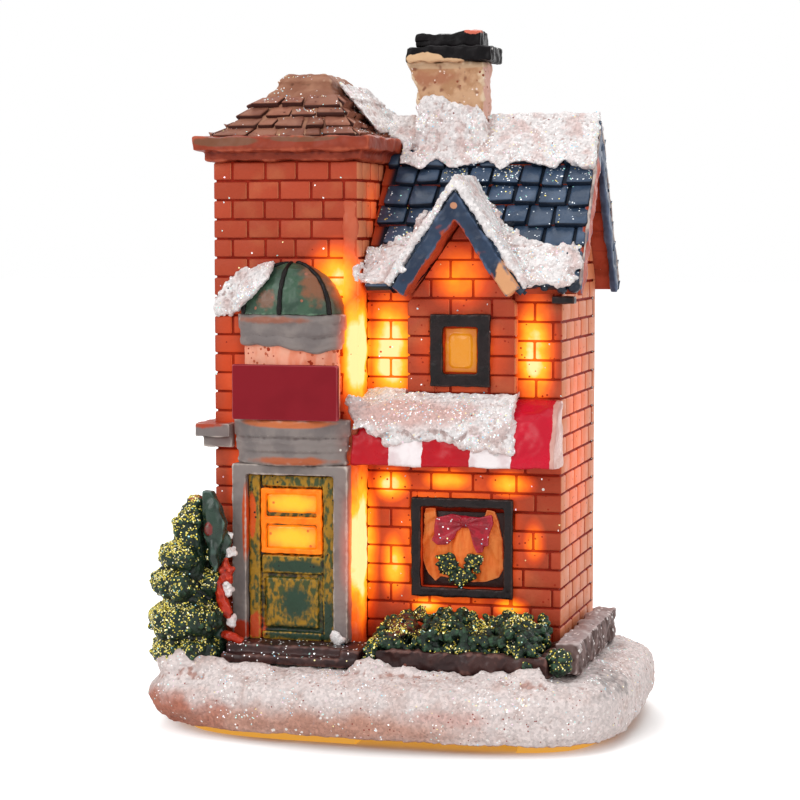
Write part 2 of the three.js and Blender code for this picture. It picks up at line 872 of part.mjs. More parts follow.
function makeString() {
  const z0 = groundLevel + stringLevel;
  const z1 = z0 + stringHeight;
  const band = (proud, from, to) => {
    const outer = block(
      towerLeft - proud,
      doorCentre - lowerCorniceWidth / 2 - gap,
      towerFront - proud,
      houseBack,
      from,
      to,
    );
    return outer.subtract(block(towerLeft, reach, towerFront, reach, 0, reach * 2));
  };
  const middle = z0 + stringHeight * 0.45;
  const shape = band(stringProud * 0.6, z0, middle).add(band(stringProud, middle, z1));
  place("string_course", shape, "greyStone");
}

// Awning: a quarter-round hood along the main facade
const awningLeft = towerRight - awningLeftOverlap;
const awningRight = mainRight + awningRightOverhang;
const awningFoot = awningLevel - awningDrop;

function awningSection(grow, sides = 10) {
  const points = [[mainFront, awningFoot - grow]];
  for (let i = 0; i <= sides; i += 1) {
    const angle = (Math.PI / 2) * (1 - i / sides);
    points.push([
      mainFront - (awningReach + grow) * Math.sin(angle),
      awningFoot + (awningDrop + grow) * Math.cos(angle),
    ]);
  }
  return points;
}

function makeAwning() {
  const hood = prism("side", awningSection(0), awningLeft, awningRight).subtract(towerCut);
  place("awning", hood, "awningRed");

  const snowRight = bayCentre + bayWidth / 2 + 0.4;
  let snow = prism("side", awningSection(awningSnowDepth), awningLeft + 0.4, snowRight);
  snow = snow.subtract(prism("side", awningSection(gap), -reach, reach));
  snow = snow.subtract(block(-reach, reach, mainFront - gap, reach, 0, reach * 2));
  snow = snow.subtract(
    block(
      bayCentre - bayWidth / 2 - gap,
      bayCentre + bayWidth / 2 + gap,
      bayFront - gap,
      reach,
      awningLevel,
      reach * 2,
    ),
  );
  const edge = [];
  const waves = 12;
  for (let i = 0; i <= waves; i += 1) {
    const x = awningLeft + ((snowRight - awningLeft) * i) / waves;
    edge.push([x, awningFoot + awningDrop * (0.52 + 0.1 * Math.sin(2.2 * i))]);
  }
  edge.push([snowRight, reach * 2], [awningLeft, reach * 2]);
  snow = snow.intersect(prism("front", edge, -reach, reach)).subtract(towerCut);
  place("snow_awning", snow, "snow");
}

// Windows
const shopLeft = towerRight + shopWindowOffset;
const shopFoot = groundLevel + shopWindowSill;

function shopOpening(fit) {
  return [
    shopLeft + shopFrameBar + fit,
    shopLeft + shopWindowWidth - shopFrameBar - fit,
    shopFoot + shopFrameBar + fit,
    shopFoot + shopWindowHeight - shopFrameBar - fit,
  ];
}

function makeWindows() {
  const left = bayCentre - upperWindowWidth / 2;
  const right = bayCentre + upperWindowWidth / 2;
  const foot = awningLevel + upperWindowGap;
  const top = foot + upperWindowHeight;
  const front = bayFront - frameRelief;
  const upperFrame = block(left, right, front, bayFront, foot, top).subtract(
    block(
      left + upperFrameBar,
      right - upperFrameBar,
      front - 1,
      bayFront + 1,
      foot + upperFrameBar,
      top - upperFrameBar,
    ),
  );
  place("upper_window_frame", upperFrame, "black");
  const fit = upperFrameBar + gap / 2;
  place(
    "upper_window_pane",
    block(left + fit, right - fit, bayFront - 0.4, bayFront, foot + fit, top - fit),
    "amber",
  );

  const [x0, x1, z0, z1] = shopOpening(0);
  const shopFront = mainFront - frameRelief;
  const shopFrame = block(
    shopLeft,
    shopLeft + shopWindowWidth,
    shopFront,
    mainFront,
    shopFoot,
    shopFoot + shopWindowHeight,
  ).subtract(block(x0, x1, shopFront - 1, mainFront + 1, z0, z1));
  place("shop_window_frame", shopFrame, "black");

  const middle = (x0 + x1) / 2;
  const drapeFit = gap / 2;
  const drapeBack = mainFront + shopRecess;
  const drapeFront = mainFront + 0.2;
  const rise = z1 - z0;
  const drapes = prism(
    "front",
    [
      [x0 + drapeFit, z0 + 0.28 * rise],
      [x0 + 1.6, z0 + drapeFit],
      [x1 - 1.6, z0 + drapeFit],
      [x1 - drapeFit, z0 + 0.28 * rise],
      [x1 - 0.8, z0 + 0.7 * rise],
      [x1 - 2, z1 - 0.8],
      [middle, z1 - 2.4],
      [x0 + 2, z1 - 0.8],
      [x0 + 0.8, z0 + 0.7 * rise],
    ],
    drapeFront,
    drapeBack,
  );
  place("shop_curtains", drapes, "ochre");

  const wreathZ = z0 + wreathRadius + wreathThickness + 0.3;
  const ring = new THREE.TorusGeometry(wreathRadius, wreathThickness, 6, 14).rotateX(Math.PI / 2);
  place("wreath", solid(ring.translate(middle, drapeFront - wreathThickness, wreathZ)), "foliage");

  const bowZ = wreathZ + wreathRadius + wreathThickness + 2;
  const wing = (side) =>
    prism(
      "front",
      [
        [middle - side * 0.5, bowZ],
        [middle + side * 3.2, bowZ + 1.5],
        [middle + side * 3.4, bowZ - 0.9],
        [middle + side * 2, bowZ - 1.5],
        [middle, bowZ - 0.8],
      ],
      drapeFront - 1,
      drapeFront,
    );
  const knot = block(middle - 0.8, middle + 0.8, drapeFront - 1.2, drapeFront, bowZ - 0.9, bowZ + 0.9);
  place("ribbon_bow", wing(-1).add(wing(1)).add(knot), "ribbonRed");
}

// Stonework and planting in front of the house
const planterLeft = doorCentre + frameWidth / 2 + stepRightOverlap + planterGap;
const planterRight = mainRight + planterOverhang;
const planterFront = mainFront - planterReach;
const kerbLeft = planterRight + gap;

function makePlanting() {
  const top = groundLevel + planterHeight;
  let trough = block(planterLeft, planterRight, planterFront, mainFront, groundLevel - 2, top);
  const bed = 1;
  trough = trough.subtract(
    block(
      planterLeft + planterWall,
      planterRight - planterWall,
      planterFront + planterWall,
      mainFront - planterWall,
      top - bed,
      reach,
    ),
  );
  place("planter_trough", seated(trough).subtract(towerCut), "darkStone");

  const round = (t) => (t < 0.5 ? 0.9 + 0.2 * t : Math.sqrt(Math.max(1 - (2 * t - 1) ** 2, 0)));
  const shrub = foliage({
    x: (planterLeft + planterRight) / 2,
    y: planterFront + planterWall + gap + shrubDepth / 2 + 0.2,
    foot: top - bed,
    height: shrubHeight + bed,
    across: (planterRight - planterLeft) / 2 - planterWall - 1.2,
    deep: shrubDepth / 2,
    radius: (t) => round(t) * 0.94,
    levels: 6,
    sides: 30,
    lobes: 9,
    wave: 0.06,
  });
  place("planter_shrub", shrub, "foliage");

  const kerbFront = mainFront - kerbReach;
  const kerb = block(
    kerbLeft,
    kerbLeft + kerbWidth,
    kerbFront,
    kerbFront + kerbLength,
    groundLevel - 2,
    groundLevel + kerbHeight,
  );
  place("right_kerb", seated(kerb), "darkStone");

  const bush = foliage({
    x: kerbLeft + bushRadius * 0.6,
    y: kerbFront - gap - bushRadius * 1.15,
    foot: groundLevel - 1,
    height: bushHeight,
    across: bushRadius,
    deep: bushRadius,
    radius: (t) => Math.sqrt(1 - (0.96 * t) ** 2),
    levels: 4,
    sides: 12,
    lobes: 4,
    wave: 0.08,
  });
  const troughCut = block(planterLeft, planterRight + gap, planterFront - gap, mainFront, 0, reach);
  place("corner_bush", seated(bush).subtract(troughCut), "foliage");
}

// Tree at the front left corner, in tiers, and the red leaves between it and the door
const treeX = towerLeft - treeLeft;
const treeY = towerFront - treeAhead;

function treeBody(grow) {
  const tier = (t) => {
    const within = (t * treeTiers) % 1;
    return (1 - t ** 3) ** 0.6 * (0.86 + 0.14 * (1 - within));
  };
  return foliage({
    x: treeX,
    y: treeY,
    foot: groundLevel - 1.6,
    height: treeHeight + grow,
    across: treeRadius + grow,
    deep: treeRadius + grow,
    radius: tier,
    levels: treeTiers * 3,
    sides: 20,
    lobes: 6,
    wave: 0.06,
  });
}

function makeTree() {
  const frameLeft = doorCentre - frameWidth / 2;
  const stepCut = block(
    frameLeft - stepLeftOverlap - gap,
    reach,
    towerFront - stepReach - gap,
    towerFront,
    0,
    stepTop + gap,
  );
  const frameCut = block(frameLeft - gap, reach, towerFront - frameProud - gap, reach, 0, reach);
  const tree = seated(treeBody(0)).subtract(towerCut).subtract(stepCut).subtract(frameCut);
  place("tree", tree, "foliage");

  const leafY = towerFront - frameProud - gap - leafHalfThickness;
  let leaves = null;
  const places = [
    { out: 0.4, up: 4.4, turn: -0.5 },
    { out: -0.3, up: 6.5, turn: 0.9 },
    { out: 0.9, up: 8.7, turn: -0.35 },
  ];
  for (const { out, up, turn } of places) {
    const leaf = new THREE.SphereGeometry(1, 8, 6);
    leaf.scale(leafLength * 0.32, leafHalfThickness, leafLength / 2);
    leaf.rotateY(turn).translate(frameLeft + out, leafY, stepTop + up);
    const shape = solid(leaf);
    leaves = leaves ? leaves.add(shape) : shape;
  }
  place("poinsettia", leaves.subtract(treeBody(gap)), "ribbonRed");
}

// Snow on the ridge, the tower, the dormer and the dome
function makeSnow() {
  const right = roofRight + bargeboardWidth - 0.2;
  const left = towerRight + gap;
  const edge = [];
  const waves = 16;
  for (let i = 0; i <= waves; i += 1) {
    const x = left + ((right - left) * i) / waves;
    edge.push([x, ridgeLevel - ridgeSnowDrop + 0.7 * Math.sin(1.9 * i) + 0.4 * Math.cos(3.1 * i)]);
  }
  edge.push([right, reach * 2], [left, reach * 2]);
  const ridge = roofLayer(gap, snowDepth, left, right)
    .intersect(prism("front", edge, -reach, reach))
    .subtract(chimneyBox(gap, 0, reach * 2))
    .subtract(corniceCut)
    .subtract(towerRoof(gap, corniceTop - gap))
    .subtract(dormerLayer(-dormerThickness, 2 * gap + snowDepth, -reach, ridgeY));
  place("snow_ridge", largest(ridge), "snow");

  const foot = corniceTop + gap;
  const capLeft = (towerLeft + towerRight) / 2 + towerCapWidth * 0.2;
  let onTower = towerRoof(snowDepth, corniceTop + snowDepth).subtract(towerRoof(gap, corniceTop));
  const snowFront = towerFront + towerCapDepth / 3;
  const snowTop = corniceTop + towerRoofRise - gap;
  onTower = onTower.intersect(block(capLeft, towerRight, snowFront, houseBack, foot, snowTop));
  place("snow_tower", onTower, "snow");

  const brow = dormerLayer(gap, gap + snowDepth, bayFront - dormerOverhang + gap, ridgeY);
  const half = dormerHalfWidth;
  const patchTop = eaveLevel + 0.24 * roofRise;
  const patch = (x0, x1) =>
    roofLayer(gap, gap + snowDepth, x0, x1).intersect(block(-reach, reach, -reach, ridgeY, 0, patchTop));
  let onDormer = brow.subtract(underRoof(gap, mainFront - eaveOverhang));
  const rightPatch = patch(bayCentre + half * 0.72, roofRight - 0.8);
  const leftPatch = patch(towerRight + gap, bayCentre - half * 0.72);
  onDormer = onDormer.add(rightPatch).add(leftPatch);
  onDormer = onDormer.subtract(dormerLayer(-dormerThickness - gap, gap, -reach, reach, 1.05));
  onDormer = onDormer.subtract(prism("front", bayProfile(-dormerThickness, gap, 0), -reach, reach));
  onDormer = onDormer.subtract(chimneyBox(gap, 0, reach * 2));
  place("snow_dormer", largest(onDormer), "snow");

  const lump = dome(awningSnowDepth).subtract(dome(gap));
  const leftPart = block(
    -reach,
    doorCentre - domeWidth * 0.16,
    -reach,
    towerFront - gap,
    domeFoot + gap,
    domeFoot + domeRise,
  );
  place("snow_dome", lump.intersect(leftPart), "snow");
}

// The biggest of a shape's separate bodies.
function largest(shape) {
  return shape.decompose().sort((a, b) => b.volume() - a.volume())[0];
}

// Battery compartment: a tray over a mouth in the bottom plate, with the cells in a row along X
const cellPitch = cellThickness + cellSpacing;
const springFit = 0.6; // slack at the two contacts together
const trayInside = cellCount * cellPitch + springLength + 2 * contactThickness + springFit;
const trayRoom = cellDiameter + 2 * gap;
const trayRight = mainRight - wallThickness - 2 * gap;
const trayLeft = trayRight - trayInside - 2 * trayWall;
const trayFront = mainFront + wallThickness + 3 * gap;
const trayBack = trayFront + trayRoom + 2 * trayWall;
const trayMiddle = (trayFront + trayBack) / 2;
const cellLevel = doorRecess + batteryDoorThickness + gap + cellDiameter / 2;
const trayCeiling = cellLevel + cellDiameter / 2 + gap;
const mouth = {
  left: trayLeft + trayWall,
  right: trayRight - trayWall,
  front: trayFront + trayWall,
  back: trayBack - trayWall,
};
const doorBack = mouth.back + batteryDoorLap;
const contactX = mouth.right - contactThickness - springFit / 2;
const springX = mouth.left + springFit / 3;
const cellsRight = contactX - cellSpacing;
const tabLevel = cellLevel + 1;
const trayTop = trayCeiling + trayWall;
const springTabY = trayMiddle + cellDiameter * 0.3;

const switchX = towerLeft + switchOffset;
const switchY = trayMiddle;
const knobX = switchX - knobTravel / 2;
const slotHalf = (knobLength + knobTravel) / 2 + slideGap;
const postX = towerRight - postInset;
const postY = mainFront + postBehind;

function mouthBlock(z0, z1) {
  return block(mouth.left, mouth.right, mouth.front, mouth.back, z0, z1);
}

// The sliding door's section: wider at its top, so the plate holds it up.
function doorSection(grow) {
  const low = doorRecess - grow;
  const high = doorRecess + batteryDoorThickness + grow;
  const left = mouth.left - batteryDoorLap;
  const right = mouth.right + batteryDoorLap;
  return [
    [left + dovetail - grow, low],
    [right - dovetail + grow, low],
    [right + grow, high],
    [left - grow, high],
  ];
}

function knobSlot(grow, z1) {
  const half = knobWidth / 2 + slideGap + grow;
  return block(
    switchX - slotHalf - grow,
    switchX + slotHalf + grow,
    switchY - half,
    switchY + half,
    -1,
    z1,
  );
}

function screwShape(grow, foot) {
  const head = screwHeadDiameter / 2 + grow;
  const shank = screwShankDiameter / 2 + grow;
  const coneFoot = 2 * doorRecess;
  return lathe([
    [0, foot],
    [head, foot],
    [head, coneFoot],
    [shank, coneFoot + head - shank],
    [shank, screwLength],
    [0, screwLength],
  ]);
}

function makeBottomPlate() {
  let plate = slabPrism(plateInset, 0, plateThickness).subtract(mouthBlock(-1, reach));
  const channel = doorSection(slideGap);
  channel[0][1] = -1;
  channel[1][1] = -1;
  plate = plate.subtract(prism("front", channel, -reach, doorBack + slideGap));
  plate = plate.subtract(knobSlot(0, reach)).subtract(knobSlot(fingerRoom, plateThickness * 0.45));
  for (const { name, x, y } of screwPlaces) {
    plate = plate.subtract(solid(screwShape(gap / 2, -1).translate(x, y, 0)));
    const arm = screwHeadDiameter * 0.32;
    const slotTop = doorRecess + screwSlot;
    const across = block(x - arm, x + arm, y - screwSlot / 2, y + screwSlot / 2, 0, slotTop);
    const along = block(x - screwSlot / 2, x + screwSlot / 2, y - arm, y + arm, 0, slotTop);
    const screw = solid(screwShape(0, doorRecess).translate(x, y, 0));
    place(name, screw.subtract(across).subtract(along), "steel");
  }
  place("bottom_plate", plate, "frosted");
}

function makeBatteryDoor() {
  const front = mouth.front - batteryDoorLap;
  let door = prism("front", doorSection(0), front, doorBack);
  const middle = (mouth.left + mouth.right) / 2;
  for (let i = 0; i < grooveCount; i += 1) {
    const y = front + 2 + i * groovePitch;
    const half = grooveLength / 2;
    door = door.subtract(block(middle - half, middle + half, y, y + grooveWidth, 0, 2 * doorRecess));
  }
  place("battery_door", door, "frosted");
}

// A contact plate that fills the end of the tray, at x
function contactPlate(x) {
  const half = cellDiameter / 2 - 1;
  return block(
    x,
    x + contactThickness,
    trayMiddle - half,
    trayMiddle + half,
    cellLevel - half,
    cellLevel + half,
  );
}

// The solder tabs: the spring's runs out to the left, the contact's out of the tray's top.
function springTab(grow, x1) {
  return block(
    trayLeft - tabReach,
    x1,
    springTabY - contactThickness / 2 - grow,
    springTabY + contactThickness / 2 + grow,
    tabLevel - tabWidth / 2 - grow,
    tabLevel + tabWidth / 2 + grow,
  );
}

function contactTab(grow, z0) {
  return block(
    contactX - grow,
    contactX + contactThickness + grow,
    trayMiddle - tabWidth / 2 - grow,
    trayMiddle + tabWidth / 2 + grow,
    z0,
    trayTop + tabReach,
  );
}

function makeTray() {
  let tray = block(trayLeft, trayRight, trayFront, trayBack, plateThickness, trayTop);
  tray = tray.subtract(mouthBlock(0, trayCeiling));
  tray = tray.subtract(springTab(tabGap, mouth.left + 1)).subtract(contactTab(tabGap, trayCeiling - 1));
  place("battery_tray", tray, "blackPlastic");
  place("battery_contact", contactPlate(contactX).add(contactTab(0, cellLevel)), "steel");

  const r = cellDiameter / 2;
  const edge = 0.25;
  const capFoot = cellThickness - cellCrown;
  const profile = [[0, 0], [r - edge, 0], [r, edge], [r, capFoot]];
  profile.push([r - cellCrown, cellThickness], [0, cellThickness]);
  for (let i = 0; i < cellCount; i += 1) {
    const cell = lathe(profile, 24).rotateY(-Math.PI / 2);
    cell.translate(cellsRight - i * cellPitch, trayMiddle, cellLevel);
    place("coin_cell_" + (i + 1), solid(cell), "steel");
  }
}

// The spring: a coil that narrows towards the cells, on its contact plate
function makeSpring() {
  const from = springX + contactThickness - springWire / 4;
  const to = cellsRight - cellCount * cellPitch - springWire / 2;
  const coil = [];
  const steps = Math.round(springCurls * 8);
  for (let i = 0; i <= steps; i += 1) {
    const t = i / steps;
    const angle = 2 * Math.PI * springCurls * t;
    const r = cellDiameter * (0.3 - 0.12 * t);
    const x = from + (to - from) * t;
    coil.push([x, trayMiddle + r * Math.cos(angle), cellLevel + r * Math.sin(angle)]);
  }
  const tab = springTab(0, springX + contactThickness / 2);
  const spring = contactPlate(springX).add(wire(coil, springWire, steps, 5)).add(tab);
  place("battery_spring", largest(spring), "steel");
}

function makeSwitch() {
  const top = plateThickness + switchHeight;
  const body = block(
    switchX - switchLength / 2,
    switchX + switchLength / 2,
    switchY - switchWidth / 2,
    switchY + switchWidth / 2,
    plateThickness,
    top,
  );
  const room = block(
    switchX - slotHalf - knobHead,
    switchX + slotHalf + knobHead,
    switchY - switchWidth / 2 + switchWall,
    switchY + switchWidth / 2 - switchWall,
    plateThickness - 1,
    top - switchWall,
  );
  place("switch_body", body.subtract(room), "blackPlastic");

  const knobBlock = (grow, z0, z1) =>
    block(
      knobX - knobLength / 2 - grow,
      knobX + knobLength / 2 + grow,
      switchY - knobWidth / 2 - grow / 2,
      switchY + knobWidth / 2 + grow / 2,
      z0,
      z1,
    );
  const headTop = plateThickness + knobHeadTop;
  const stem = knobBlock(0, doorRecess + slideGap, headTop);
  place("switch_slider", stem.add(knobBlock(knobHead / 2, plateThickness + gap, headTop)), "blackPlastic");
}

// Lamp on its hollow post
const postTop = plateThickness + postHeight;
const lampFoot = postTop - lampSeatDepth;
const notchFoot = plateThickness + 3;
const notchHeight = 8;

function makeLamp() {
  const bore = postOuter / 2 - postWall;
  const seat = lampFlange / 2 + gap / 2;
  const ring = [
    [bore, plateThickness],
    [postOuter / 2, plateThickness],
    [postOuter / 2, postTop],
    [seat, postTop],
    [seat, lampFoot],
    [bore, lampFoot],
    [bore, plateThickness],
  ];
  const post = solid(lathe(ring).translate(postX, postY, 0));
  const half = wireDiameter / 2 + 1;
  const notch = block(-reach, reach, postY - half, postY + half, notchFoot, notchFoot + notchHeight);
  place("led_post", post.subtract(notch), "blackPlastic");

  const r = lampDiameter / 2;
  const bulb = [[0, lampFoot], [lampFlange / 2, lampFoot], [lampFlange / 2, lampFoot + lampCollar]];
  bulb.push([r, lampFoot + lampCollar]);
  const steps = 5;
  for (let i = 0; i < steps; i += 1) {
    const angle = (Math.PI / 2) * (i / steps);
    bulb.push([r * Math.cos(angle), lampFoot + lampHeight - r + r * Math.sin(angle)]);
  }
  bulb.push([0, lampFoot + lampHeight]);
  place("led_bulb", solid(lathe(bulb).translate(postX, postY, 0)), "lampLens");
}

// The three wires: tray to switch, switch to lamp, lamp back to the tray
function makeWires() {
  const lampEnd = lampFoot - gap;
  const high = notchFoot + notchHeight * 0.675;
  const low = notchFoot + notchHeight * 0.45;
  const onSwitch = plateThickness + switchHeight + gap;
  const terminal = switchLength * 0.23;
  const out = postOuter / 2;
  const inPost = (side) => [
    [postX + side * wireSpread, postY, lampEnd],
    [postX + side * wireSpread, postY, (lampEnd + high) / 2],
    [postX + side * wireSpread, postY, high + wireBend],
  ];

  const supply = [
    [trayLeft - tabReach - gap, springTabY, tabLevel],
    [trayLeft - tabReach - wireBend, springTabY + wireBend / 2, tabLevel],
    [postX, postY + out + 2 * wireBend, tabLevel],
    [switchX + terminal + 2.2 * wireBend, switchY + 2 * wireBend, onSwitch + 1.4 * wireBend],
    [switchX + terminal + wireBend / 4, switchY + wireBend / 3, onSwitch + 1.2 * wireBend],
    [switchX + terminal, switchY, onSwitch],
  ];
  place("lead_supply", wire(supply, wireDiameter, 18), "redWire");

  const switched = [
    ...inPost(-1),
    [postX - out, postY, low],
    [switchX + terminal, switchY - wireBend, onSwitch + 1.6 * wireBend],
    [switchX - terminal * 0.7, switchY - wireBend / 3, onSwitch + 1.3 * wireBend],
    [switchX - terminal, switchY, onSwitch],
  ];
  place("lead_switched", wire(switched, wireDiameter, 22), "redWire");

  const tabX = contactX + contactThickness / 2;
  const overTray = trayTop + wireDiameter + gap;
  const back = [
    ...inPost(1),
    [postX + out, postY, high],
    [trayLeft - tabReach, postY + wireBend / 2, (high + overTray) / 2 + wireBend / 2],
    [trayLeft + wireBend, (postY + trayMiddle) / 2, overTray],
    [(trayLeft + tabX) / 2, trayMiddle, overTray],
    [tabX - 2 * wireBend, trayMiddle, trayTop + tabReach + wireBend / 2],
    [tabX - wireBend / 2, trayMiddle, trayTop + tabReach + wireBend],
    [tabX, trayMiddle, trayTop + tabReach + gap],
  ];
  place("lead_return", wire(back, wireDiameter, 30), "blackWire");
}

makeSlab();
makeTower();
makeMainBlock();
makeBay();
makeChimney();
makeDoor();
makeString();
makeAwning();
makeWindows();
makePlanting();
makeTree();
makeSnow();
makeBottomPlate();
makeBatteryDoor();
makeTray();
makeSpring();
makeSwitch();
makeLamp();
makeWires();

export default house;
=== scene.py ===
"""Light-up village house: the finish of its pieces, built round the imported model.

A hollow polyresin casting, painted by hand, with snow and glitter, lit from inside by one warm lamp.
Sizes below are millimetres. The front faces -Y and the origin lies on the table.
"""

import logging
import math
import random
from collections.abc import Callable, Iterable, Sequence
from dataclasses import dataclass, field
from enum import Enum
from functools import partial

import bmesh
import bpy
from mathutils import Matrix, Vector, noise
from mathutils.bvhtree import BVHTree


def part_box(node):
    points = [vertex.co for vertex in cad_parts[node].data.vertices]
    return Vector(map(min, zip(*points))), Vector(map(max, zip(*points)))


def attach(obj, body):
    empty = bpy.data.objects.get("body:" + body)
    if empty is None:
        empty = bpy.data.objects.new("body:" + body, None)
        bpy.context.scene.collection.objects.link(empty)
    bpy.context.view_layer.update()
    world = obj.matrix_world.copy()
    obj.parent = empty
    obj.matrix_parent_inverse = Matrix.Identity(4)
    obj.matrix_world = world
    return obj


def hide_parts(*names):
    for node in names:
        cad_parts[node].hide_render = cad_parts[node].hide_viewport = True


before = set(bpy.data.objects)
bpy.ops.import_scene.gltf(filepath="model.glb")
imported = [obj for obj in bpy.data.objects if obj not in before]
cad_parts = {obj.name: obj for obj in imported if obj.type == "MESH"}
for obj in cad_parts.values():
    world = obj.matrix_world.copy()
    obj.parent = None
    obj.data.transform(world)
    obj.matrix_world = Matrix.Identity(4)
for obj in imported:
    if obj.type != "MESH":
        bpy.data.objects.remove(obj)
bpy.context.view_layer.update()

MM = 0.001
LOG = logging.getLogger("village_house")
SMOOTH = {"interpolation_type": "SMOOTHSTEP"}

Socket = bpy.types.NodeSocket
Feed = Socket | float | tuple[float, ...]
Triple = tuple[float, float, float]
Pair = tuple[float, float]
Layer = tuple[object, ...]

UP = Vector((0.0, 0.0, 1.0))
RIGHT = Vector((1.0, 0.0, 0.0))
BACK = Vector((0.0, 1.0, 0.0))


def linear(code: str) -> tuple[float, float, float, float]:
    """Turns an sRGB hex code into linear colour.

    Args:
        code: A colour such as "#c8492c".

    Returns:
        Linear red, green, blue and an alpha of 1.
    """
    def channel(value: float) -> float:
        """Undoes the sRGB curve for one channel."""
        return value / 12.92 if value <= 0.04045 else ((value + 0.055) / 1.055) ** 2.4

    red, green, blue = (channel(int(code[i : i + 2], 16) / 255) for i in (1, 3, 5))
    return red, green, blue, 1.0


def node_box(node: str) -> tuple[Vector, Vector]:
    """Gives a CAD node's corners in millimetres.

    Args:
        node: The node's name.

    Returns:
        Its lowest and highest corner.
    """
    low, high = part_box(node)
    return low / MM, high / MM


def feed(node: bpy.types.Node, inputs: dict[int | str, Feed] | Sequence[Feed]) -> None:
    """Fills a node's inputs.

    Args:
        node: The node.
        inputs: Values, or the sockets that feed them, in their order or by name or place.
    """
    for key, value in inputs.items() if isinstance(inputs, dict) else enumerate(inputs):
        if isinstance(value, Socket):
            node.id_data.links.new(value, node.inputs[key])
        else:
            node.inputs[key].default_value = value


def add_node(
    tree: bpy.types.NodeTree,
    kind: str,
    inputs: dict[int | str, Feed] | Sequence[Feed] = (),
    output: int | str = 0,
    **settings: object,
) -> Socket:
    """Adds a shader node with its settings and links.

    Args:
        tree: The tree that it joins.
        kind: Its type without the prefix, such as "Math".
        inputs: Values, or the sockets that feed them, in their order or by name or place.
        output: The output that is wanted, by name or place.
        **settings: Its own properties.

    Returns:
        That output.
    """
    node = tree.nodes.new(f"ShaderNode{kind}")
    for name, value in settings.items():
        setattr(node, name, value)
    feed(node, inputs)
    return node.outputs[output]


class Swell(Enum):
    """How a layer of relief rolls."""

    SOFT = "soft"
    PEBBLE = "pebble"


@dataclass(frozen=True)
class Relief:
    """One layer of unevenness: how wide its bumps are, how far they stand and how they roll."""

    width: float
    height: float
    kind: Swell = Swell.SOFT

    def at(self, place: Vector) -> float:
        """Gives the height at a place.

        Args:
            place: A point in millimetres.

        Returns:
            How far the surface moves along its normal, in millimetres.
        """
        spot = place / self.width
        if self.kind is Swell.PEBBLE:
            return self.height * (0.5 - noise.voronoi(spot)[0][0])
        return self.height * noise.noise(spot)


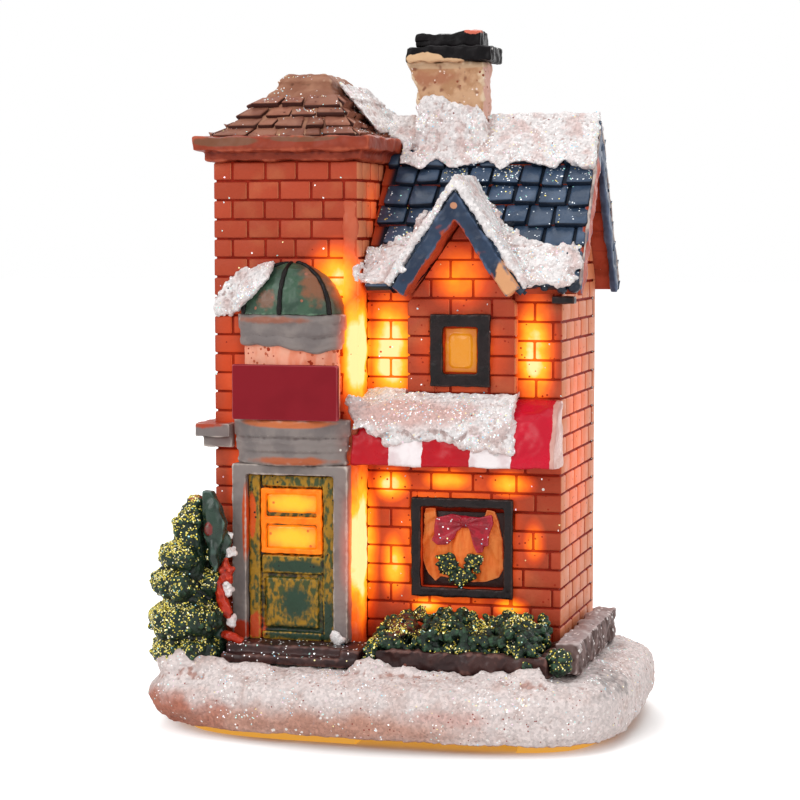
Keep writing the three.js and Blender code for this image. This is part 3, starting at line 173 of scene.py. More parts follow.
class Form:
    """A shape in the making, in millimetres.

    Its points carry two numbers for the paint: tone, which differs from one brick or flake to the next,
    and front, which is 1 on a block's outer face and 0 in the joint beside it.
    """

    def __init__(self) -> None:
        """Starts an empty form."""
        self.bm = bmesh.new()
        self._label()

    def _label(self) -> None:
        """Adds the two numbers that the paint reads."""
        self.bm.verts.layers.float.new("tone")
        self.bm.verts.layers.float.new("front")

    @classmethod
    def of_nodes(cls, *nodes: str) -> "Form":
        """Copies CAD nodes with their loose triangles merged.

        Args:
            *nodes: Names of the nodes.

        Returns:
            The form of all of them.
        """
        form = cls()
        for node in nodes:
            form.bm.from_mesh(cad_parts[node].data)
        bmesh.ops.remove_doubles(form.bm, verts=form.bm.verts, dist=0.002 * MM)
        bmesh.ops.scale(form.bm, vec=(1 / MM,) * 3, verts=form.bm.verts)
        return form

    def stamp(self, piece: bmesh.types.BMesh) -> None:
        """Adds a small finished mesh to the form.

        Args:
            piece: The mesh, which is freed.
        """
        mesh = bpy.data.meshes.new("stamp")
        piece.to_mesh(mesh)
        piece.free()
        self.bm.from_mesh(mesh)
        bpy.data.meshes.remove(mesh)

    def block(self, corners: Sequence[Vector], depth: float, bevel: float, tone: float = 0.0) -> None:
        """Adds one block with rounded edges.

        Args:
            corners: Its outer face's four corners, counter-clockwise seen from outside.
            depth: How deep it is behind that face.
            bevel: How far its edges are rounded.
            tone: The number that its paint varies with.
        """
        a, b, c, d = corners
        outward = (b - a).cross(d - a).normalized()
        piece = bmesh.new()
        tones = piece.verts.layers.float.new("tone")
        fronts = piece.verts.layers.float.new("front")
        half = Vector((0.5, 0.5, 0.5))
        for vert in bmesh.ops.create_cube(piece, size=1.0)["verts"]:
            u, v, w = vert.co + half
            vert.co = a.lerp(b, u).lerp(d.lerp(c, u), v) - outward * depth * (1 - w)
        bmesh.ops.bevel(
            piece, geom=piece.edges[:], offset=bevel, offset_type="OFFSET", segments=2,
            profile=0.5, affect="EDGES", material=-1,
        )
        for vert in piece.verts:
            vert[tones] = tone
            vert[fronts] = max(0.0, 1 + (vert.co - a).dot(outward) / bevel)
        self.stamp(piece)

    def box(self, low: Triple, high: Triple, bevel: float) -> None:
        """Adds an upright block.

        Args:
            low: Its lowest corner, on its outer face.
            high: Its highest corner.
            bevel: How far its edges are rounded.
        """
        low, high = Vector(low), Vector(high)
        ends = ((low.x, low.z), (high.x, low.z), (high.x, high.z), (low.x, high.z))
        self.block([Vector((x, low.y, z)) for x, z in ends], high.y - low.y, bevel)

    def ball(self, centre: Triple, size: Triple | float, detail: int = 2) -> None:
        """Adds a round lump.

        Args:
            centre: Its middle.
            size: Its radius, or its half sizes along X, Y and Z.
            detail: How many times its faces are divided.
        """
        sizes = (size,) * 3 if isinstance(size, (int, float)) else size
        matrix = Matrix.Translation(centre) @ Matrix.Diagonal((*sizes, 1.0))
        piece = bmesh.new()
        bmesh.ops.create_icosphere(piece, subdivisions=detail, radius=1.0, matrix=matrix)
        self.stamp(piece)

    def plate(self, outline: Sequence[Pair], front: float, thickness: float) -> None:
        """Adds a flat shape drawn as seen from the front.

        Args:
            outline: Its points as x and z, counter-clockwise.
            front: Where its face stands along Y.
            thickness: How thick it is.
        """
        verts = [self.bm.verts.new((x, front, z)) for x, z in outline]
        face = self.bm.faces.new(verts)
        made = bmesh.ops.extrude_face_region(self.bm, geom=[face], use_keep_orig=True)
        moved = [item for item in made["geom"] if isinstance(item, bmesh.types.BMVert)]
        bmesh.ops.translate(self.bm, verts=moved, vec=(0, thickness, 0))
        near = {f for v in verts + moved for f in v.link_faces}
        bmesh.ops.recalc_face_normals(self.bm, faces=list(near))

    def rod(self, points: Iterable[Vector], radii: Iterable[float], sides: int = 3) -> None:
        """Adds a round bar along a smooth path.

        Args:
            points: Where it runs.
            radii: Its radius at each point.
            sides: Quarter resolution of its section.
        """
        path = list(points)
        curve = bpy.data.curves.new("rod", "CURVE")
        curve.dimensions = "3D"
        curve.bevel_depth = 1.0
        curve.bevel_resolution = sides
        curve.use_fill_caps = True
        spline = curve.splines.new("POLY")
        spline.points.add(len(path) - 1)
        for point, place, radius in zip(spline.points, path, radii):
            point.co = (*place, 1.0)
            point.radius = radius
        holder = bpy.data.objects.new("rod", curve)
        bpy.context.scene.collection.objects.link(holder)
        graph = bpy.context.evaluated_depsgraph_get()
        mesh = bpy.data.meshes.new_from_object(holder.evaluated_get(graph))
        self.bm.from_mesh(mesh)
        bpy.data.objects.remove(holder)
        bpy.data.curves.remove(curve)
        bpy.data.meshes.remove(mesh)

    def clamp(self, low: Vector, high: Vector) -> "Form":
        """Draws every point into a box, which levels what stands out of it.

        Args:
            low: The box's lowest corner.
            high: Its highest corner.

        Returns:
            The form itself.
        """
        return self.shape(lambda place: Vector(max(a, min(b, v)) for a, v, b in zip(low, place, high)))

    def cut(self, place: Triple, normal: Triple) -> None:
        """Cuts off what lies beyond a plane and closes the cut blocks.

        Args:
            place: A point of the plane.
            normal: The way to what is cut off.
        """
        everything = self.bm.verts[:] + self.bm.edges[:] + self.bm.faces[:]
        made = bmesh.ops.bisect_plane(
            self.bm, geom=everything, dist=1e-4, plane_co=place, plane_no=normal, clear_outer=True
        )
        rims = [item for item in made["geom_cut"] if isinstance(item, bmesh.types.BMEdge)]
        bmesh.ops.holes_fill(self.bm, edges=[edge for edge in rims if edge.is_boundary], sides=0)

    def uneven(self, *layers: Layer) -> "Form":
        """Moves every point along its normal by the sum of some layers of relief.

        Args:
            *layers: Each layer's width, height and kind.

        Returns:
            The form itself.
        """
        reliefs = [Relief(*layer) for layer in layers]
        self.bm.normal_update()
        shifts = [(vert, sum(relief.at(vert.co) for relief in reliefs)) for vert in self.bm.verts]
        for vert, shift in shifts:
            vert.co += vert.normal * shift
        return self

    def shape(self, move: Callable[[Vector], Vector]) -> "Form":
        """Moves every point.

        Args:
            move: Gives a point's new place.

        Returns:
            The form itself.
        """
        for vert in self.bm.verts:
            vert.co = move(vert.co)
        return self

    def cast(self, voxel: float, soften: int, *layers: Layer) -> "Form":
        """Joins everything in the form into one skin with soft edges, as a casting has.

        Args:
            voxel: How fine the skin is.
            soften: How many times it is smoothed.
            *layers: The width, height and kind of each layer of unevenness on it.

        Returns:
            The form itself.
        """
        mesh = bpy.data.meshes.new("skin")
        self.bm.to_mesh(mesh)
        holder = bpy.data.objects.new("skin", mesh)
        bpy.context.scene.collection.objects.link(holder)
        remesh = holder.modifiers.new("skin", "REMESH")
        remesh.mode = "VOXEL"
        remesh.voxel_size = voxel
        graph = bpy.context.evaluated_depsgraph_get()
        skin = bpy.data.meshes.new_from_object(holder.evaluated_get(graph))
        self.bm.free()
        self.bm = bmesh.new()
        self.bm.from_mesh(skin)
        self._label()
        bpy.data.objects.remove(holder)
        bpy.data.meshes.remove(mesh)
        bpy.data.meshes.remove(skin)
        self._smooth(self.bm, soften)
        self.uneven(*layers)
        self._mark_ridges_and_hollows(voxel)
        return self

    @staticmethod
    def _smooth(bm: bmesh.types.BMesh, times: int) -> None:
        """Smooths a mesh.

        Args:
            bm: The mesh.
            times: How many times.
        """
        for _ in range(times):
            bmesh.ops.smooth_vert(
                bm, verts=bm.verts, factor=0.5, use_axis_x=True, use_axis_y=True, use_axis_z=True
            )

    def _mark_ridges_and_hollows(self, voxel: float) -> None:
        """Notes in front how far each point stands out: 1 on ridges, 0.5 on flats, 0 in hollows. The paint
        uses it for darker hollows, partly painted shade, and paler ridges, partly a painted highlight.

        Args:
            voxel: How fine the skin is.
        """
        flat = self.bm.copy()
        self._smooth(flat, 8)
        self.bm.normal_update()
        layer = self.bm.verts.layers.float["front"]
        self.bm.verts.ensure_lookup_table()
        for vert, smoothed in zip(self.bm.verts, flat.verts):
            stands = (vert.co - smoothed.co).dot(vert.normal)
            vert[layer] = max(0.0, min(1.0, 0.5 + stands / (1.6 * voxel)))
        flat.free()


class Skin:
    """Surfaces that are there already, to lay others on."""

    def __init__(self, objects: Iterable[bpy.types.Object]) -> None:
        """Gathers surfaces.

        Args:
            objects: The objects that have them.
        """
        bm = bmesh.new()
        for item in objects:
            bm.from_mesh(item.data)
        bmesh.ops.scale(bm, vec=(1 / MM,) * 3, verts=bm.verts)
        self.tree = BVHTree.FromBMesh(bm)
        bm.free()

    def seen(self, place: Vector) -> Vector | None:
        """Finds what the camera sees in the direction of a place.

        Args:
            place: The place.

        Returns:
            The spot on the surfaces, or None where it sees none of them.
        """
        eye = Vector(Studio.camera_place)
        return self.tree.ray_cast(eye, (place - eye).normalized())[0]

    def front(self, x: float, z: float) -> Vector:
        """Finds the foremost spot at a place seen straight from the front.

        Args:
            x: How far right the place is.
            z: How high it is.

        Returns:
            The spot, or one at the middle of the depth where there is none.
        """
        return self.tree.ray_cast(Vector((x, -60.0, z)), BACK)[0] or Vector((x, 0.0, z))


def finish_piece(
    name: str,
    form: Form,
    finish: "Finish",
    stands_for: Sequence[str] = (),
    sharp: float | None = None,
) -> bpy.types.Object:
    """Makes a piece of the house from a finished form.

    Args:
        name: The piece's name.
        form: Its form, which is used up.
        finish: Its finish.
        stands_for: CAD nodes that it replaces.
        sharp: Angle in degrees past which an edge shows as sharp, or None for none.

    Returns:
        The new object.
    """
    bmesh.ops.scale(form.bm, vec=(MM,) * 3, verts=form.bm.verts)
    mesh = bpy.data.meshes.new(name)
    form.bm.to_mesh(mesh)
    form.bm.free()
    mesh.materials.append(finish.paint())
    mesh.shade_smooth()
    if sharp is not None:
        mesh.set_sharp_from_angle(angle=math.radians(sharp))
    piece = bpy.data.objects.new(name, mesh)
    bpy.context.scene.collection.objects.link(piece)
    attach(piece, "root")
    if stands_for:
        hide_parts(*stands_for)
    LOG.info("%s: %d faces", name, len(mesh.polygons))
    return piece


def cast_nodes(
    name: str, nodes: Sequence[str], finish: "Finish", slot: str, voxel: float, soften: int, *layers: Layer
) -> bpy.types.Object:
    """Casts CAD nodes as one piece with soft edges.

    Args:
        name: The piece's name.
        nodes: The nodes, which it replaces.
        finish: Its finish.
        slot: Not used.
        voxel: How fine its skin is.
        soften: How many times it is smoothed.
        *layers: The width, height and kind of each layer of unevenness on it.

    Returns:
        The new object.
    """
    return finish_piece(name, Form.of_nodes(*nodes).cast(voxel, soften, *layers), finish, nodes)


def dress(finish: "Finish", *nodes: str) -> None:
    """Gives CAD nodes that stay in sight a finish.

    Args:
        finish: The finish.
        *nodes: The nodes.
    """
    for node in nodes:
        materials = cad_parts[node].data.materials
        materials.clear()
        materials.append(finish.paint())
        LOG.info("%s: CAD piece in %s", node, finish.value.name)


@dataclass(frozen=True)
class GlowPool:
    """A place where the lamp shines through thin resin, with the light's strength in its middle."""

    centre: Triple
    half: Triple
    strength: float


# The lamp's glow through the resin is painted on as emission; these pools say where it is painted and how
# strongly
GLOW_POOLS = tuple(GlowPool(*row) for row in (
    ((-5.2, -11.0, 27.0), (4.4, 7.5, 20.0), 1.35),
    ((-5.2, -11.5, 56.0), (4.2, 7.5, 15.0), 1.3),
    ((-8.0, -13.0, 66.5), (7.5, 4.0, 9.0), 0.92),
    ((-24.5, -13.0, 52.0), (5.0, 4.0, 26.0), 0.3),
    ((-1.0, -8.0, 55.5), (6.2, 1.5, 15.0), 1.12),
    ((20.6, -8.0, 56.0), (5.0, 1.5, 14.0), 1.02),
    ((8.0, -8.0, 27.0), (19.0, 1.6, 21.0), 0.62),
    ((-1.0, -8.0, 36.0), (5.0, 2.0, 4.5), 0.98),
    ((7.5, -8.0, 36.8), (7.0, 2.0, 3.4), 0.84),
    ((17.0, -8.0, 36.5), (6.0, 2.0, 3.6), 0.86),
    ((-0.6, -8.0, 24.0), (3.8, 2.0, 9.0), 0.9),
    ((4.5, -8.0, 18.0), (5.0, 2.0, 2.6), 0.9),
    ((17.0, -8.0, 18.2), (4.5, 2.0, 2.8), 0.9),
    ((20.6, -8.0, 28.0), (3.0, 2.0, 6.0), 0.62),
    ((9.8, -9.8, 67.0), (8.0, 2.5, 8.0), 0.66),
    ((10.0, -9.8, 56.0), (12.0, 1.6, 10.0), 0.5),
    ((-4.8, -5.0, 78.0), (2.0, 9.0, 10.0), 0.35),
    ((24.7, 4.0, 42.0), (1.5, 20.0, 40.0), 0.34),
    ((-5.6, -16.0, 43.0), (2.6, 3.5, 4.5), 0.5),
    ((-6.0, -15.5, 59.0), (2.6, 3.5, 3.2), 0.55),
    ((-23.0, -13.0, 36.0), (4.0, 2.0, 14.0), 0.42),
))


GLOW_COLOURS = (
    (0.00, "#000000"), (0.14, "#2c0600"), (0.32, "#a02c02"), (0.52, "#ee6408"),
    (0.70, "#ff9c12"), (0.86, "#ffc92e"), (1.00, "#fff3a8"),
)
# Lit paint is mixed towards deep orange, so that the room's light doesn't pale the glow
LIT_PAINT = "#8a3a04"
LIT_SHARE = 0.85
# Thick paint in joints, patches and specks holds back this share of the light
COVER_DIMS = 0.62


@dataclass(frozen=True)
class Speck:
    """Small dots of paint: how far apart their places are, their radius, the share of the places that
    have one, and how wide the clumps are that they gather in, or 0 for none.
    """

    colour: str
    spacing: float
    radius: float
    share: float
    clump: float = 0.0


@dataclass(frozen=True)
class Patch:
    """A ragged patch of another colour, with its middle, its half sizes and how softly it ends."""

    colour: str
    centre: Triple
    half: Triple
    ragged: float = 0.5
    soft: float = 0.1


@dataclass(frozen=True)
class Facing:
    """Paint on the faces that look one way: the way, and how directly a face has to look there."""

    colour: str
    direction: Triple
    least: float


class Paintwork:
    """A material in the making: its nodes, its place in millimetres, and the paint laid so far."""

    def __init__(self, name: str, body: str = "#ffffff") -> None:
        """Starts a material with a Principled shader.

        Args:
            name: Its name.
            body: The colour of its first coat.
        """
        self.material = bpy.data.materials.new(name)
        self.material.use_nodes = True
        tree = self.material.node_tree
        self.shader = tree.nodes["Principled BSDF"]
        self.add = partial(add_node, tree)
        inside = self.add("TexCoord", output="Object")
        self.place = self.add("VectorMath", {0: inside, 3: 1 / MM}, operation="SCALE")
        self.colour: Feed = linear(body)
        self.cover: Feed = 0.0

    def clouds(self, width: float, detail: float = 3.0, stretch: Triple | None = None) -> Socket:
        """Makes soft clouds.

        Args:
            width: How wide they are, in millimetres.
            detail: How much finer structure they have.
            stretch: How many times finer they are along each axis, or None for even ones.

        Returns:
            A number about 0.5, lower and higher from cloud to cloud.
        """
        place = self.place
        if stretch:
            place = self.add("VectorMath", (place, stretch), operation="MULTIPLY")
        return self.add("TexNoise", {"Vector": place, "Scale": 1 / width, "Detail": detail}, "Fac")

    def away(self, centre: Triple, half: Triple) -> Socket:
        """Measures how far each place is from a centre.

        Args:
            centre: The centre.
            half: Half sizes of the space round it.

        Returns:
            0 in the centre and 1 where that space ends.
        """
        offset = self.add("VectorMath", (self.place, centre), operation="SUBTRACT")
        sized = self.add("VectorMath", (offset, half), operation="DIVIDE")
        return self.add("VectorMath", (sized,), "Value", operation="LENGTH")

    def patch_mask(self, patch: Patch) -> Socket:
        """Finds where a ragged patch lies.

        Args:
            patch: The patch.

        Returns:
            1 inside it, 0 outside.
        """
        clouds = self.clouds(max(patch.half[0], patch.half[2]) * 0.35, 4.0)
        torn = self.add("Math", (clouds, patch.ragged * 2, -patch.ragged), operation="MULTIPLY_ADD")
        edge = self.add("Math", (self.away(patch.centre, patch.half), torn), operation="ADD")
        return self.add("MapRange", (edge, 1 - patch.soft, 1 + patch.soft, 1.0, 0.0), **SMOOTH)

    def speck_mask(self, speck: Speck) -> Socket:
        """Finds where spattered dots lie.

        Args:
            speck: The dots.

        Returns:
            1 on a dot, 0 beside it.
        """
        cell = self.add("TexVoronoi", {"Vector": self.place, "Scale": 1 / speck.spacing}, "Distance")
        near = self.add("Math", (cell, speck.radius / speck.spacing), operation="LESS_THAN")
        chosen = self.add("Math", (cell.node.outputs["Color"], speck.share), operation="LESS_THAN")
        mask = self.add("Math", (near, chosen), operation="MULTIPLY")
        if speck.clump:
            dense = self.add("Math", (self.clouds(speck.clump, 2.0), 0.5), operation="GREATER_THAN")
            mask = self.add("Math", (mask, dense), operation="MULTIPLY")
        return mask

    def heat(self, everywhere: float) -> Socket:
        """Finds how strongly the lamp shines through.

        Args:
            everywhere: Its strength away from the pools.

        Returns:
            The strength at each place.
        """
        total: Feed = everywhere
        for pool in GLOW_POOLS:
            away = self.away(pool.centre, pool.half)
            lit = self.add("MapRange", (away, 0.0, 1.0, pool.strength, 0.0), **SMOOTH)
            total = self.add("Math", (total, lit), operation="MAXIMUM")
        return total

    def ramp(self, value: Socket, stops: Sequence[tuple[float, str]], constant: bool = False) -> Socket:
        """Turns a value into a colour.

        Args:
            value: The value.
            stops: Colours with their places from 0 to 1.
            constant: Whether a colour runs unchanged up to the next stop.

        Returns:
            The colour.
        """
        colour = self.add("ValToRGB", (value,))
        band = colour.node.color_ramp
        band.interpolation = "CONSTANT" if constant else "LINEAR"
        while len(band.elements) < len(stops):
            band.elements.new(1.0)
        for element, (position, code) in zip(band.elements, stops):
            element.position = position
            element.color = linear(code)
        return colour

    def coat(self, mask: Feed, code: str, blocks: bool = False) -> None:
        """Lays a coat over the paint so far.

        Args:
            mask: How fully it covers each place, from 0 to 1.
            code: Its colour.
            blocks: Whether it holds the lamp's light back.
        """
        self.colour = self.add("Mix", {0: mask, 6: self.colour, 7: linear(code)}, 2, data_type="RGBA")
        if blocks:
            self.cover = self.add("Math", (self.cover, mask), operation="MAXIMUM")

    def close(self, inputs: dict[str, Feed], *reliefs: tuple[Socket, float]) -> bpy.types.Material:
        """Joins the paint and its relief to the shader.

        Args:
            inputs: Values for the shader's other inputs, by name.
            *reliefs: Heights with their depths in millimetres, each over the one before.

        Returns:
            The finished material.
        """
        normal: dict[str, Feed] = {}
        for height, depth in reliefs:
            bump = {"Height": height, "Distance": depth * MM, "Strength": 1.0, **normal}
            normal = {"Normal": self.add("Bump", bump)}
        feed(self.shader, {"Base Color": self.colour, **inputs, **normal})
        return self.material


@dataclass(frozen=True)
class Resin:
    """Hand-painted cast polyresin: matt paint, cloudy from the brush, thin where the lamp shows through, and
    that glow is painted on as emission.

    Clouds of a second colour lie on the body, where cloud_share says. Then come faces, some of them a side
    painted paler as painted light, patches, a darker colour in hollows that is partly dark paint and partly
    painted shade, a paler colour on ridges that is partly worn paint and partly a painted highlight, the
    joints between blocks, grit drawn as tiny shadows between grains, and specks on top. Widths, places and
    depths are in millimetres, and stretch makes the clouds finer along each axis.
    """

    name: str
    body: str
    cloud: str
    cloud_width: float = 4.0
    cloud_share: Pair = (0.42, 0.62)
    stretch: Triple | None = None
    # Darker colour in hollows: partly dark paint, partly painted shade
    wash_and_shade: str | None = None
    # Paler colour on ridges: partly worn paint, partly a painted highlight
    edge: str | None = None
    specks: tuple[Speck, ...] = ()
    patches: tuple[Patch, ...] = ()
    # Colour on faces that look one way; on some finishes this is a side painted paler as painted light
    facings: tuple[Facing, ...] = ()
    stripes: tuple[tuple[float, str], ...] = ()
    stripe_span: Pair = (0.0, 1.0)
    joint: str | None = None
    tone: float = 0.0
    roughness: float = 0.6
    specular: float = 0.16
    grain: float = 0.5
    grain_depth: float = 0.05
    grit: float = 0.0
    # How strongly the lamp's glow is painted on as emission, in the pools and everywhere else
    glow: float = 0.0
    warm: float = 0.0

    def _stripe(self, work: Paintwork) -> None:
        """Lays the stripes, whose edges wander a little, as the first coat.

        Args:
            work: The material in the making.
        """
        low, high = self.stripe_span
        along = work.add("SeparateXYZ", (work.place,), "X")
        wander = work.add("Math", (work.clouds(2.5), 1.2, -0.6), operation="MULTIPLY_ADD")
        spot = work.add("MapRange", (work.add("Math", (along, wander), operation="ADD"), low, high))
        stops = [((x - low) / (high - low), code) for x, code in self.stripes]
        work.colour = work.ramp(spot, stops, constant=True)

    def _lay(self, work: Paintwork) -> None:
        """Lays the paint coat by coat, from the clouds to the specks.

        Args:
            work: The material in the making.
        """
        clouds = work.clouds(self.cloud_width, 4.0, self.stretch)
        share = work.add("MapRange", (clouds, *self.cloud_share), **SMOOTH)
        if self.stripes:
            self._stripe(work)
            share = work.add("Math", (share, 0.25), operation="MULTIPLY")
        work.coat(share, self.cloud)
        if self.tone:
            tone = work.add("Attribute", output="Fac", attribute_name="tone")
            lighter = work.add("Math", (tone, self.tone, 1.0), operation="MULTIPLY_ADD")
            work.colour = work.add("HueSaturation", {"Color": work.colour, "Value": lighter})
        normal = work.add("NewGeometry", output="Normal")
        # Faces that look one way take a colour; on some finishes this is painted light, a side painted paler
        # as lit from the right
        for facing in self.facings:
            towards = work.add("VectorMath", (normal, facing.direction), "Value", operation="DOT_PRODUCT")
            mask = work.add("MapRange", (towards, facing.least - 0.1, facing.least + 0.1), **SMOOTH)
            work.coat(mask, facing.colour)
        for patch in self.patches:
            work.coat(work.patch_mask(patch), patch.colour, blocks=True)
        front = work.add("Attribute", output="Fac", attribute_name="front")
        # Hollows take the darker colour, partly dark paint and partly painted shade; ridges take the paler
        # colour, partly worn paint and partly a painted highlight; joints take their own dark paint
        for code, none, full, blocks in (
            (self.wash_and_shade, 0.44, 0.26, False), (self.edge, 0.6, 0.82, False), (self.joint, 0.6, 0.15, True),
        ):
            if code:
                work.coat(work.add("MapRange", (front, none, full), **SMOOTH), code, blocks)
        if self.grit:
            grains = work.add("TexVoronoi", {"Vector": work.place, "Scale": 1 / self.grit}, "Color")
            shade = work.add("Math", (grains, 0.42, 0.72), operation="MULTIPLY_ADD")
            work.colour = work.add("HueSaturation", {"Color": work.colour, "Value": shade})
        for speck in self.specks:
            work.coat(work.speck_mask(speck), speck.colour, blocks=True)

    def build(self) -> bpy.types.Material:
        """Makes the material.

        Returns:
            The material.
        """
        work = Paintwork(self.name, self.body)
        self._lay(work)
        brushed = work.clouds(1.5, 2.0)
        rough = work.add("Math", (brushed, 0.3, self.roughness - 0.15), operation="MULTIPLY_ADD")
        inputs: dict[str, Feed] = {"Roughness": rough, "Specular IOR Level": self.specular}
        if self.glow or self.warm:
            uneven = work.add("Math", (work.clouds(3.0, 4.0), 0.7, 0.68), operation="MULTIPLY_ADD")
            clear = work.add("Math", (work.cover, -COVER_DIMS, 1.0), operation="MULTIPLY_ADD")
            through = work.heat(self.warm)
            for share in (uneven, clear, self.glow or 1.0):
                through = work.add("Math", (through, share), operation="MULTIPLY")
            lit = work.add("Math", (through, LIT_SHARE), operation="MULTIPLY", use_clamp=True)
            work.coat(lit, LIT_PAINT)
            inputs |= {"Emission Color": work.ramp(through, GLOW_COLOURS), "Emission Strength": 1.0}
        fine = (work.clouds(self.grain), self.grain_depth)
        broad = (work.clouds(self.grain * 5, 2.0), self.grain_depth * 3)
        return work.close(inputs, fine, broad)


@dataclass(frozen=True)
class Flake:
    """Cut foil glitter: tiny mirror hexagons whose colour differs from flake to flake.

    The shine makes up for the sparkle that a small picture loses.
    """

    name: str
    colours: tuple[tuple[float, str], ...]
    shine: float = 0.16

    def build(self) -> bpy.types.Material:
        """Makes the material.

        Returns:
            The material.
        """
        work = Paintwork(self.name)
        tone = work.add("Attribute", output="Fac", attribute_name="tone")
        work.colour = work.ramp(tone, self.colours, constant=True)
        return work.close({
            "Emission Color": work.colour, "Emission Strength": self.shine, "Metallic": 0.7,
            "Roughness": 0.28,
        })


@dataclass(frozen=True)
class AmberResin:
    """Clear amber resin over the lamp: lit brightest round a centre, orange at its rim."""

    name: str
    centre: Triple
    half: Triple
    middle: str
    rim: str
    strength: float = 1.0

    def build(self) -> bpy.types.Material:
        """Makes the material.

        Returns:
            The material.
        """
        work = Paintwork(self.name, self.rim)
        work.coat(work.patch_mask(Patch(self.middle, self.centre, self.half, 0.25, 0.55)), self.middle)
        spots = work.speck_mask(AMBER_DOT)
        work.coat(work.add("Math", (spots, 0.8), operation="MULTIPLY"), AMBER_DOT.colour)
        lit = work.colour
        work.colour = work.add("HueSaturation", {"Color": lit, "Value": 0.3})
        return work.close({
            "Emission Color": lit, "Emission Strength": self.strength, "Roughness": 0.3,
            "Specular IOR Level": 0.4,
        }, (work.clouds(0.9), 0.12))


@dataclass(frozen=True)
class Moulded:
    """Moulded plastic or plated metal: an even colour with a fine surface, lit where it glows."""

    name: str
    colour: str
    second: str
    roughness: float
    metallic: float = 0.0
    texture: float = 0.4
    depth: float = 0.01
    lit: str | None = None
    strength: float = 1.0

    def build(self) -> bpy.types.Material:
        """Makes the material.

        Returns:
            The material.
        """
        work = Paintwork(self.name, self.colour)
        clouds = work.clouds(self.texture)
        work.coat(clouds, self.second)
        rough = work.add("Math", (clouds, 0.16, self.roughness - 0.08), operation="MULTIPLY_ADD")
        inputs: dict[str, Feed] = {"Metallic": self.metallic, "Roughness": rough}
        if self.lit:
            inputs |= {"Emission Color": linear(self.lit), "Emission Strength": self.strength}
        return work.close(inputs, (clouds, self.depth))


WHITE_DOT = Speck("#f4efe8", 4.2, 0.22, 0.3)
RED_DOT = Speck("#8e2012", 1.5, 0.2, 0.3, 5.0)
AMBER_DOT = Speck("#c8500c", 1.6, 0.22, 0.4)


